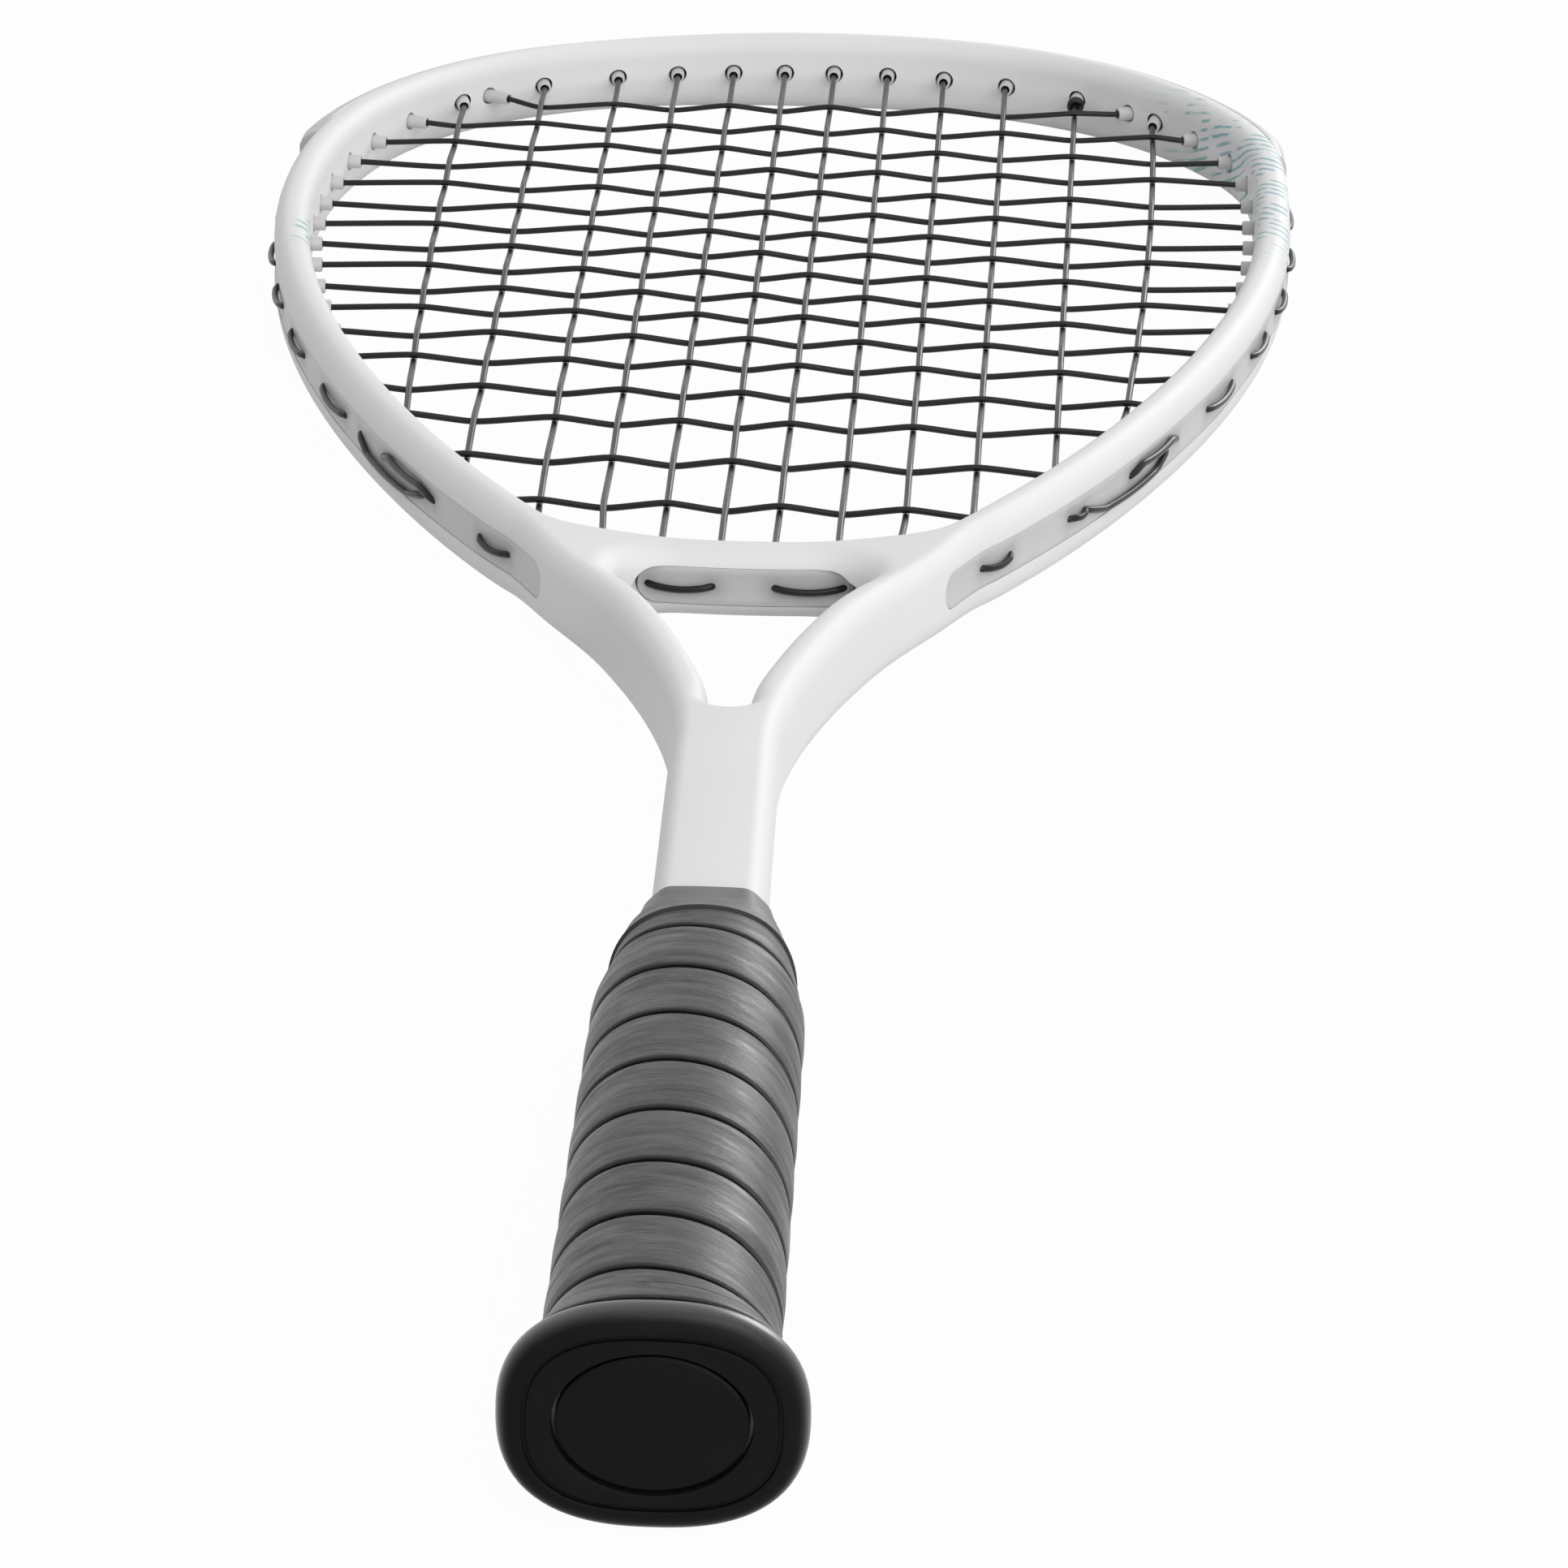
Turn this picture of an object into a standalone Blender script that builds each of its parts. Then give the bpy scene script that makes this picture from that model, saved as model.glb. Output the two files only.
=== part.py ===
"""Squash racket with a wound grip.

One bent frame runs down both arms into the shaft, with a bridge bonded across the throat.
Plastic guards line the string holes, two strings are woven 12 by 17, and the shaft sits
in a split foam handle that ends in a butt cap with a pull-out cover.

Every piece is drawn with the butt end at y = 0, the tip along +Y and the strings in the
plane z = 0. The root then lays the racket down on its butt cap and its tip.
"""

import math

import bmesh
import bpy
from mathutils import Vector
from mathutils.geometry import interpolate_bezier, tessellate_polygon

# Fits between pieces
FIT = 0.0003
STRING_FIT = 0.0003

# Frame
LENGTH = 0.686
HOOP_WIDTH = 0.2118
WIDEST_DROP = 0.133
HOOP_SQUARENESS = 2.47
BEAM_WIDTH = 0.0072
BEAM_HEIGHT = 0.0170
BEAM_EDGE = 0.0032
ARM_SPREAD = 0.0852
ARM_RISE = 0.016
ARM_ANGLE = math.radians(37.0)
ARM_PULL_BELOW = 0.0125
ARM_PULL_ABOVE = 0.0200
HOOP_PULL = 0.1045
SHAFT_WIDTH = 0.0172
SHAFT_END_Y = 0.008
SHOULDER_DROP = 0.0142
SHOULDER_PULL = 0.0425
THROAT_LENGTH = 0.0795
CROTCH_RADIUS = 0.0033
CROTCH_SIDE = 0.0180

# Bridge across the throat
BRIDGE_DROP = 0.368
BRIDGE_WIDTH = 0.0090
BRIDGE_HEIGHT = 0.013
BRIDGE_EDGE = 0.0036
BRIDGE_BOW = 0.0016

# String guards
STRIP_THICKNESS = 0.0010
STRIP_HEIGHT = 0.0066
GROOVE_DEPTH = 0.0017
STRIP_END_DROP = 0.0045
BUMPER_END_DROP = 0.086
BUMPER_HEIGHT = 0.0086
BUMPER_PROUD = 0.0018
BRIDGE_STRIP_LENGTH = 0.040
BARREL_DIAMETER = 0.0032
BARREL_PROUD = 0.0024
BORE_DIAMETER = 0.0020

# Strings
STRING_DIAMETER = 0.00125
CROSS_SHARES = (32, 18.5, 18, 17.5, 17.5, 16.5, 15.5, 15, 15.5, 15.5, 14.5, 16, 16.5, 18.5, 18.5,
                23.5, 25.5, 34)
MAIN_TIP_SHARES = (0.0529, 0.1681, 0.2908, 0.4297, 0.5779, 0.7394)
MAIN_TIP_DROP = 0.026
MAIN_THROAT_SHARES = (0.0482, 0.1549, 0.2663, 0.3787, 0.5146, 0.6006)
MAIN_THROAT_RISE = 0.062
OUTER_BOW = 0.0025
CROSSING_ROOM = 0.00156
LOOP_LIFT = 0.0017
LOOP_LEAD = 0.0025
KNOT_DIAMETER = 0.0040
KNOT_LENGTH = 0.0036

# Handle
HANDLE_WIDTH = 0.0270
HANDLE_HEIGHT = 0.0236
HANDLE_CHAMFER = 0.0070
PALLET_START_Y = 0.006
TAPER_START_Y = 0.124
TAPER_END_Y = 0.154
TAPER_WALL = 0.0003
TAPER_CHAMFER = 0.0028

# Butt cap and its cover
NECK_Y = 0.022
NECK_WALL = 0.0014
FLARE_Y = 0.0056
FLARE_WIDTH = 0.0352
FLARE_HEIGHT = 0.0268
RIM_Y = 0.0052
RIM_WIDTH = 0.0396
RIM_HEIGHT = 0.0310
RIM_ROUND = 0.0032
PANEL_GROOVE = 0.0006
CAP_FLOOR_Y = 0.0034
COVER_WIDTH = 0.0254
COVER_HEIGHT = 0.0196
COVER_THICKNESS = 0.0016
COVER_RECESS = 0.0003
COVER_LEDGE = 0.0022
COVER_PLUG_Y = 0.0050

# Grip
WRAP_THICKNESS = 0.0017
WRAP_WIDTH = 0.0158
WRAP_PITCH = 0.0165
WRAP_START_Y = 0.0059
WRAP_END_Y = 0.136
WRAP_TIP = 0.0015
TAPE_THICKNESS = 0.0004
TAPE_END_Y = 0.1535

# Counts of facets
RAIL_STEPS = 40
RAIL_SPACING = 0.0140
EDGE_STEPS = 2
HOLE_SIDES = 4
KNOT_SIDES = 10
STRING_SIDES = 4
SIDE_PARTS = 2
FLARE_STEPS = 7
RIM_STEPS = 3

# Places up from the butt: the hoop's from the tip down, the throat's from the bridge
WIDEST_Y = LENGTH - WIDEST_DROP
BUMPER_END_Y = LENGTH - BUMPER_END_DROP
MAIN_TIP_Y = LENGTH - MAIN_TIP_DROP
BRIDGE_Y = LENGTH - BRIDGE_DROP
MAIN_THROAT_Y = BRIDGE_Y + MAIN_THROAT_RISE
ARM_Y = BRIDGE_Y + ARM_RISE
STRIP_END_Y = BRIDGE_Y - STRIP_END_DROP
CROTCH_Y = BRIDGE_Y - THROAT_LENGTH
SHOULDER_Y = CROTCH_Y - SHOULDER_DROP

MAIN_COUNT = 2 * len(MAIN_TIP_SHARES)
CROSS_COUNT = len(CROSS_SHARES) - 1
STRING_RADIUS = STRING_DIAMETER / 2
WEAVE = STRING_RADIUS + STRING_FIT / 2
STRIP_SEAT = GROOVE_DEPTH - FIT
STRIP_FACE = STRIP_SEAT - STRIP_THICKNESS
LOOP_DEPTH = STRIP_FACE - STRING_FIT - STRING_RADIUS
END_DEPTH = STRIP_FACE + STRING_FIT
OCTAGON_GROWTH = 2 - math.sqrt(2)


# Materials

def material(name, colour, roughness):
    """Return a plain Principled material."""
    made = bpy.data.materials.new(name)
    made.use_nodes = True
    shader = made.node_tree.nodes["Principled BSDF"]
    shader.inputs["Base Color"].default_value = (*colour, 1.0)
    shader.inputs["Roughness"].default_value = roughness
    return made


# Mesh helpers

def add_object(name, corners, faces, look, root):
    """Make one closed mesh object under the root."""
    shape = bmesh.new()
    made = [shape.verts.new(corner) for corner in corners]
    for face in faces:
        shape.faces.new([made[index] for index in face])
    bmesh.ops.recalc_face_normals(shape, faces=shape.faces)
    mesh = bpy.data.meshes.new(name)
    shape.to_mesh(mesh)
    shape.free()
    mesh.materials.append(look)
    mesh.shade_smooth()
    mesh.set_sharp_from_angle(angle=math.radians(35))
    item = bpy.data.objects.new(name, mesh)
    bpy.context.collection.objects.link(item)
    item.parent = root
    return item


def skin(rings, joined=False, cap=None):
    """Join equal rings of points into one skin, closed end to end or by a cap at each end.

    A cap is a list of faces by their places in the ring. Without one, each end is a fan.
    """
    size = len(rings[0])
    corners = [point for ring in rings for point in ring]
    faces = []
    spans = len(rings) if joined else len(rings) - 1
    for span in range(spans):
        low = span * size
        high = (span + 1) % len(rings) * size
        for side in range(size):
            after = (side + 1) % size
            faces.append((low + side, low + after, high + after, high + side))
    if joined:
        return corners, faces
    for start in (0, len(corners) - size):
        if cap:
            faces.extend(tuple(start + place for place in face) for face in cap)
            continue
        centre = sum((Vector(corner) for corner in corners[start:start + size]), Vector((0, 0, 0))) / size
        corners.append(centre)
        for side in range(size):
            faces.append((start + side, start + (side + 1) % size, len(corners) - 1))
    return corners, faces


def several(parts):
    """Put the corners and faces of several skins into one list each."""
    corners, faces = [], []
    for part_corners, part_faces in parts:
        shift = len(corners)
        corners.extend(part_corners)
        faces.extend(tuple(index + shift for index in face) for face in part_faces)
    return corners, faces


def as_cutter(item):
    """Keep an object for cutting only."""
    item.hide_render = True
    item.display_type = "WIRE"
    return item


def boolean(item, operation, other):
    """Add an exact Boolean with another object."""
    step = item.modifiers.new(operation.title(), "BOOLEAN")
    step.operation = operation
    step.solver = "EXACT"
    step.use_self = True
    step.object = other


def rod(start, end, radius):
    """Return the skin of a straight prism, its flats at a radius, between two points."""
    reach = radius / math.cos(math.pi / HOLE_SIDES)
    along = (end - start).normalized()
    across = Vector((-along.y, along.x))
    rings = []
    for centre in (start, end):
        ring = []
        for side in range(HOLE_SIDES):
            turn = 2 * math.pi * (side + 0.5) / HOLE_SIDES
            spot = centre + across * reach * math.cos(turn)
            ring.append((spot.x, spot.y, reach * math.sin(turn)))
        rings.append(ring)
    return skin(rings)


def tube(path, radius, sides):
    """Return the skin of a tube along a path of 3-D points."""
    rings = []
    across = Vector((0, 0, 1))
    for index, centre in enumerate(path):
        before = path[max(index - 1, 0)]
        after = path[min(index + 1, len(path) - 1)]
        along = (after - before).normalized()
        across = (across - along * across.dot(along)).normalized()
        third = along.cross(across)
        ring = []
        for side in range(sides):
            turn = 2 * math.pi * (side + 0.5) / sides
            ring.append(centre + (across * math.cos(turn) + third * math.sin(turn)) * radius)
        rings.append(ring)
    return skin(rings)


def rounded_plate(loops, height, edge):
    """Return a plate with rounded edges, from loops with the material on their left."""
    profile = []
    for step in range(EDGE_STEPS + 1):
        turn = math.pi / 2 * step / EDGE_STEPS
        profile.append((edge * (1 - math.cos(turn)), height / 2 - edge * (1 - math.sin(turn))))
    levels = [(inset, -z) for inset, z in reversed(profile)] + profile
    corners, faces, first, last = [], [], [], []
    for loop in loops:
        count = len(loop)
        start = len(corners)
        inward = [left_normal(loop[index - 1], loop[(index + 1) % count]) for index in range(count)]
        for inset, z in levels:
            for point, normal in zip(loop, inward):
                spot = point + normal * inset
                corners.append((spot.x, spot.y, z))
        for level in range(len(levels) - 1):
            for index in range(count):
                low = start + level * count
                after = (index + 1) % count
                faces.append((low + index, low + after, low + count + after, low + count + index))
        first.append(list(range(start, start + count)))
        last.append(list(range(len(corners) - count, len(corners))))
    for ends in (first, last):
        flat = [index for loop in ends for index in loop]
        for corner in tessellate_polygon([[Vector(corners[index]) for index in loop] for loop in ends]):
            faces.append(tuple(flat[index] for index in corner))
    return corners, faces


def left_normal(before, after):
    """Return the unit normal on the left of the way from one point to another."""
    way = (after - before).normalized()
    return Vector((-way.y, way.x))


# Outline of the frame

class Rail:
    """A smooth outer edge in the string plane, with its outside on the right of its way."""

    def __init__(self, points):
        self.points = points
        last = len(points) - 1
        self.step = sum((after - before).length for before, after in zip(points, points[1:])) / last
        self.normals = []
        for index in range(len(points)):
            inward = left_normal(points[max(index - 1, 0)], points[min(index + 1, last)])
            self.normals.append(-inward)

    def at(self, place, depth):
        """Return the point at a place along the rail, at a depth below the edge."""
        index = min(int(place), len(self.points) - 2)
        share = place - index
        point = self.points[index].lerp(self.points[index + 1], share)
        normal = self.normals[index].lerp(self.normals[index + 1], share).normalized()
        return point - normal * depth

    def crossings(self, side_of, depth):
        """Return the places where the rail, at a depth, crosses the line side_of == 0."""
        found = []
        value = side_of(self.at(0, depth))
        for index in range(1, len(self.points)):
            other = side_of(self.at(index, depth))
            if value * other < 0:
                found.append(index - 1 + value / (value - other))
            value = other
        return found

    def nearest(self, spot):
        """Return the place on the edge that is nearest to a point."""
        best = min(range(len(self.points)), key=lambda index: (self.points[index] - spot).length)
        best = min(max(best, 1), len(self.points) - 2)
        before, after = self.points[best - 1], self.points[best + 1]
        way = after - before
        share = (spot - before).dot(way) / way.length_squared
        return best - 1 + 2 * min(max(share, 0.0), 1.0)

    def between(self, start, end, spacing):
        """Return evenly spaced places from one place to another."""
        length = sum((self.at(start + (end - start) * step / RAIL_STEPS, 0)
                      - self.at(start + (end - start) * (step + 1) / RAIL_STEPS, 0)).length
                     for step in range(RAIL_STEPS))
        count = max(2, round(length / spacing))
        return [start + (end - start) * step / count for step in range(count + 1)]


def frame_rail():
    """Return the outer edge of the frame from the right shoulder over the tip to the left."""
    shoulder = Vector((SHAFT_WIDTH / 2, SHOULDER_Y))
    arm = Vector((ARM_SPREAD / 2, ARM_Y))
    widest = Vector((HOOP_WIDTH / 2, WIDEST_Y))
    way = Vector((math.sin(ARM_ANGLE), math.cos(ARM_ANGLE)))
    half = interpolate_bezier(shoulder, shoulder + Vector((0, SHOULDER_PULL)),
                              arm - way * ARM_PULL_BELOW, arm, RAIL_STEPS)
    half += interpolate_bezier(arm, arm + way * ARM_PULL_ABOVE,
                               widest - Vector((0, HOOP_PULL)), widest, 2 * RAIL_STEPS)[1:]
    reach = LENGTH - BUMPER_PROUD - WIDEST_Y
    for step in range(1, 2 * RAIL_STEPS + 1):
        turn = math.pi / 2 * step / (2 * RAIL_STEPS)
        across = max(math.cos(turn), 0.0) ** (2 / HOOP_SQUARENESS)
        along = math.sin(turn) ** (2 / HOOP_SQUARENESS)
        half.append(Vector((widest.x * across, WIDEST_Y + reach * along)))
    half = evenly([Vector(point[:2]) for point in half], RAIL_SPACING / 4)
    return Rail(half + [Vector((-point.x, point.y)) for point in reversed(half[:-1])])


def evenly(points, spacing):
    """Return points spaced evenly along a line of points."""
    lengths = [0.0]
    for before, after in zip(points, points[1:]):
        lengths.append(lengths[-1] + (after - before).length)
    count = max(2, round(lengths[-1] / spacing))
    result, index = [], 0
    for step in range(count + 1):
        target = lengths[-1] * step / count
        while index < len(points) - 2 and lengths[index + 1] < target:
            index += 1
        share = (target - lengths[index]) / (lengths[index + 1] - lengths[index])
        result.append(points[index].lerp(points[index + 1], min(share, 1.0)))
    return result


def bridge_rail(rail):
    """Return the edge of the bridge that faces the shaft, from inside one arm to the other."""
    def edge(x):
        return BRIDGE_Y + BRIDGE_BOW * (x / (BRIDGE_STRIP_LENGTH / 2)) ** 2

    def above(point):
        return point.y - edge(point.x) - BRIDGE_WIDTH / 2
    reach = rail.at(rail.crossings(above, BEAM_WIDTH / 2)[0], BEAM_WIDTH / 2).x
    points = []
    for step in range(RAIL_STEPS + 1):
        x = reach * (2 * step / RAIL_STEPS - 1)
        points.append(Vector((x, edge(x))))
    return Rail(points)


def frame_loops(rail, grow):
    """Return the frame's outer loop and its one opening, grown all round by a fit."""
    half = len(rail.points) // 2
    coarse = [index for index in range(0, half, 4)] + [half]
    outer = [Vector((SHAFT_WIDTH / 2 + grow, SHAFT_END_Y - grow))]
    outer += [rail.at(index, -grow) for index in coarse]
    outer += [Vector((-point.x, point.y)) for point in reversed(outer[:-1])]
    inner = [rail.at(index, BEAM_WIDTH + grow) for index in coarse]
    crotch = Vector((0, CROTCH_Y + CROTCH_RADIUS))
    inner = [point for point in inner if point.y > crotch.y + CROTCH_SIDE]
    bend = [crotch + (CROTCH_RADIUS - grow) * Vector((math.sin(turn), -math.cos(turn)))
            for turn in (math.pi / 6 * step for step in range(4))]
    right = bend + inner
    left = [Vector((-point.x, point.y)) for point in reversed(right[1:-1])]
    return [outer, list(reversed(right + left))]


# Strings and the holes that they run through

class Hole:
    """A string hole: from the barrel's mouth inside the hoop to a place on the outer edge."""

    def __init__(self, mouth, rail):
        self.mouth = mouth
        self.rail = rail
        self.place = rail.nearest(mouth)
        self.exit = rail.at(self.place, 0)
        self.way = (self.exit - mouth).normalized()

    def spot(self, depth):
        """Return the point on the hole's axis at a depth below the outer edge."""
        return self.exit - self.way * depth


class Bed:
    """Where the strings run and cross, and the holes at their ends."""

    def __init__(self, rail, bridge):
        reach = BEAM_WIDTH + BARREL_PROUD
        tip = LENGTH - BUMPER_PROUD - BEAM_WIDTH
        strung = tip - BRIDGE_Y - BRIDGE_WIDTH
        self.cross_y = []
        run = 0.0
        for share in CROSS_SHARES[:-1]:
            run += share
            self.cross_y.append(tip - strung * run / sum(CROSS_SHARES))
        self.cross_holes = []
        for y in self.cross_y:
            right, left = rail.crossings(lambda point: point.y - y, reach)[-2:]
            self.cross_holes.append((Hole(rail.at(left, reach), rail), Hole(rail.at(right, reach), rail)))
        self.main_holes = []
        for main in range(MAIN_COUNT):
            def side_of(point):
                return point.x - self.main_x(main, point.y)
            mouths = [rail.at(place, reach) for place in rail.crossings(side_of, reach)]
            top = max(mouths, key=lambda point: point.y)
            low = min((point for point in mouths if point.y > BRIDGE_Y), key=lambda point: point.y)
            ends = bridge.crossings(side_of, BRIDGE_WIDTH + BARREL_PROUD)
            if ends:
                sill = bridge.at(ends[0], BRIDGE_WIDTH + BARREL_PROUD)
                low = sill if low is top or sill.y > low.y else low
            on_bridge = abs(low.x) < BRIDGE_STRIP_LENGTH / 2
            self.main_holes.append((Hole(top, rail), Hole(low, bridge if on_bridge else rail)))

    def main_x(self, main, y):
        """Return the x of a main string at a y. Mains count from the left."""
        right = main >= MAIN_COUNT // 2
        rank = main - MAIN_COUNT // 2 if right else MAIN_COUNT // 2 - 1 - main
        share = (y - MAIN_THROAT_Y) / (MAIN_TIP_Y - MAIN_THROAT_Y)
        throat = MAIN_THROAT_SHARES[rank] * HOOP_WIDTH / 2
        tip = MAIN_TIP_SHARES[rank] * HOOP_WIDTH / 2
        x = throat + (tip - throat) * share
        if rank == MAIN_COUNT // 2 - 1:
            x += 4 * OUTER_BOW * share * (1 - share)
        return x if right else -x

    def crossing(self, main, cross):
        """Return where a main and a cross meet, or None where they do not reach."""
        y = self.cross_y[cross]
        x = self.main_x(main, y)
        top, low = self.main_holes[main]
        left, right = self.cross_holes[cross]
        if not left.mouth.x + CROSSING_ROOM < x < right.mouth.x - CROSSING_ROOM:
            return None
        if not low.mouth.y + CROSSING_ROOM < y < top.mouth.y - CROSSING_ROOM:
            return None
        return Vector((x, y))

    def over(self, main, cross):
        """Return 1 where the cross runs over the main, else -1."""
        return 1 if (main + cross) % 2 == 0 else -1

    def main_run(self, main):
        """Return the woven points of a main from the tip to the throat."""
        points = []
        for cross in range(CROSS_COUNT):
            spot = self.crossing(main, cross)
            if spot:
                points.append(Vector((spot.x, spot.y, -WEAVE * self.over(main, cross))))
        return points

    def cross_run(self, cross):
        """Return the woven points of a cross from left to right."""
        points = []
        for main in range(MAIN_COUNT):
            spot = self.crossing(main, cross)
            if spot:
                points.append(Vector((spot.x, spot.y, WEAVE * self.over(main, cross))))
        return points

    def holes(self):
        """Return every hole."""
        return [hole for pair in self.main_holes + self.cross_holes for hole in pair]


def through(hole, inward):
    """Return the string's points through a hole, from the outside in or from the inside out."""
    points = [flat(hole.spot(LOOP_DEPTH)), flat(hole.mouth)]
    return points if inward else list(reversed(points))


def flat(point, z=0.0):
    """Return a point of the string plane as a 3-D point."""
    return Vector((point.x, point.y, z))


def loop_between(start, end, lift):
    """Return the points of an outside loop between two holes, lifted to one side."""
    rail = start.rail
    lead = LOOP_LEAD / rail.step
    if start.place > end.place:
        lead = -lead
    places = rail.between(start.place + lead, end.place - lead, RAIL_SPACING)
    return [flat(rail.at(place, LOOP_DEPTH), lift) for place in places]


def string_path(runs, ends, lifts):
    """Return one string's path over all its runs, with loops outside the frame between them.

    Each run is a list of woven points and each item of ends the holes where it starts and stops.
    """
    path = []
    for index, (run, (start, stop)) in enumerate(zip(runs, ends)):
        entry = through(start, True)
        leave = through(stop, False)
        if index == 0:
            entry[0] = flat(start.spot(END_DEPTH))
        if index == len(runs) - 1:
            leave[-1] = flat(stop.spot(END_DEPTH))
        path += entry + run + leave
        if index < len(runs) - 1:
            path += loop_between(stop, ends[index + 1][0], lifts.get(index, 0.0))
    return path


def main_path(bed):
    """Return the path of the main string, from the first main's tip end."""
    runs, ends = [], []
    for main in range(MAIN_COUNT):
        top, low = bed.main_holes[main]
        run = bed.main_run(main)
        downward = main % 2 == 0
        runs.append(run if downward else list(reversed(run)))
        ends.append((top, low) if downward else (low, top))
    return string_path(runs, ends, {0: -LOOP_LIFT, MAIN_COUNT - 2: -LOOP_LIFT})


def cross_path(bed):
    """Return the path of the cross string, from the left end at the tip."""
    runs, ends = [], []
    for cross in range(CROSS_COUNT):
        left, right = bed.cross_holes[cross]
        run = bed.cross_run(cross)
        rightward = cross % 2 == 0
        runs.append(run if rightward else list(reversed(run)))
        ends.append((left, right) if rightward else (right, left))
    return string_path(runs, ends, {CROSS_COUNT - 3: LOOP_LIFT, CROSS_COUNT - 2: LOOP_LIFT})


# Guards

def guard_band(rail, start, end, section, round_start=False, round_end=False, cap=None):
    """Return a band along a rail; section gives (depth, z) points for a share of the height."""
    places = rail.between(start, end, RAIL_SPACING)
    shares = [1.0] * len(places)
    step = (places[1] - places[0]) / 4
    if round_end:
        places = places[:-1] + [end - step, end - step / 4, end]
        shares += [0.85, 0.55]
    if round_start:
        places = [start, start + step / 4, start + step] + places[1:]
        shares = [0.55, 0.85] + shares
    rings = []
    for place, share in zip(places, shares):
        rings.append([flat(rail.at(place, depth), z) for depth, z in section(share)])
    return skin(rings, cap=cap)


def bar_section(deep, face, height):
    """Return a maker of a plain rectangular section between two depths."""
    def section(share):
        side = height / 2 * share
        return [(deep, -side), (face, -side), (face, side), (deep, side)]
    return section


# Faces that close the bumper's channelled section at its ends
BUMPER_CAP = ((0, 1, 2, 3), (0, 3, 4, 7), (4, 5, 6, 7))


def bumper_section(deep, face, height):
    """Return a maker of a section with a channel for the strings along its face."""
    channel = STRING_RADIUS + 2 * STRING_FIT

    def section(share):
        side = height / 2 * share
        return [(deep, -side), (face, -side), (face, -channel), (STRIP_FACE, -channel),
                (STRIP_FACE, channel), (face, channel), (face, side), (deep, side)]
    return section


def add_guard(name, skin_parts, holes, look, root):
    """Make one guard: its band, with a barrel and a bore at each hole."""
    guard = add_object(name, *skin_parts, look, root)
    barrel_start = STRIP_FACE + STRIP_THICKNESS / 2
    barrels = [rod(hole.spot(barrel_start), hole.mouth, BARREL_DIAMETER / 2) for hole in holes]
    bores = []
    for hole in holes:
        outside = hole.spot(-BUMPER_PROUD - STRIP_THICKNESS)
        bores.append(rod(outside, hole.mouth - hole.way * STRIP_THICKNESS, BORE_DIAMETER / 2))
    boolean(guard, "UNION", as_cutter(add_object(name + "_barrels", *several(barrels), look, root)))
    boolean(guard, "DIFFERENCE", as_cutter(add_object(name + "_bores", *several(bores), look, root)))
    return guard


# Handle and butt

def octagon(width, height, chamfer):
    """Return points round an eight-sided section, as (x, z) pairs from its right side up."""
    x, z = width / 2, height / 2
    corners = [(x, chamfer - z), (x, z - chamfer), (x - chamfer, z), (chamfer - x, z),
               (-x, z - chamfer), (-x, chamfer - z), (chamfer - x, -z), (x - chamfer, -z)]
    ring = []
    for index, corner in enumerate(corners):
        after = Vector(corners[(index + 1) % len(corners)])
        ring += [Vector(corner).lerp(after, part / SIDE_PARTS) for part in range(SIDE_PARTS)]
    return ring


def handle_octagon(grow):
    """Return the full handle section, grown all round."""
    return octagon(HANDLE_WIDTH + 2 * grow, HANDLE_HEIGHT + 2 * grow, HANDLE_CHAMFER + OCTAGON_GROWTH * grow)


def oval(width, height):
    """Return an oval with its points in the directions of the handle section's points."""
    ring = []
    for point in handle_octagon(0):
        reach = 1 / math.hypot(point.x / (width / 2), point.y / (height / 2))
        ring.append(point * reach)
    return ring


def seat_section(y, grow):
    """Return the handle's section at a height, with the cap's flare and the top's taper."""
    if y >= NECK_Y:
        share = min(max((y - TAPER_START_Y) / (TAPER_END_Y - TAPER_START_Y), 0.0), 1.0)
        thin_width = SHAFT_WIDTH + 2 * (FIT + TAPER_WALL)
        thin_height = BEAM_HEIGHT + 2 * (FIT + TAPER_WALL)
        return octagon(HANDLE_WIDTH + (thin_width - HANDLE_WIDTH) * share + 2 * grow,
                       HANDLE_HEIGHT + (thin_height - HANDLE_HEIGHT) * share + 2 * grow,
                       HANDLE_CHAMFER + (TAPER_CHAMFER - HANDLE_CHAMFER) * share + OCTAGON_GROWTH * grow)
    share = min((NECK_Y - y) / (NECK_Y - FLARE_Y), 1.0) ** 2
    flare = oval(FLARE_WIDTH + 2 * grow, FLARE_HEIGHT + 2 * grow)
    return [low.lerp(high, share) for low, high in zip(handle_octagon(grow), flare)]


def ring_at(section, y):
    """Return a section as a ring of 3-D points at a y."""
    return [Vector((point.x, y, point.y)) for point in section]


def pallet(side):
    """Return one half of the handle, above the string plane for side 1 and below for -1."""
    spigot = handle_octagon(-NECK_WALL - FIT)
    stages = [(PALLET_START_Y, spigot), (NECK_Y + FIT, spigot)]
    stages += [(y, seat_section(y, 0)) for y in (NECK_Y + 2 * FIT, TAPER_START_Y, TAPER_END_Y)]
    rings = []
    for y, section in stages:
        upper = [point for point in section if point.y > FIT]
        upper.sort(key=lambda point: math.atan2(point.y, point.x))
        edge = max(point.x for point in section)
        half = [Vector((edge, FIT / 2))] + upper + [Vector((-edge, FIT / 2))]
        rings.append([Vector((point.x, y, side * point.y)) for point in half])
    return skin(rings)


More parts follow.
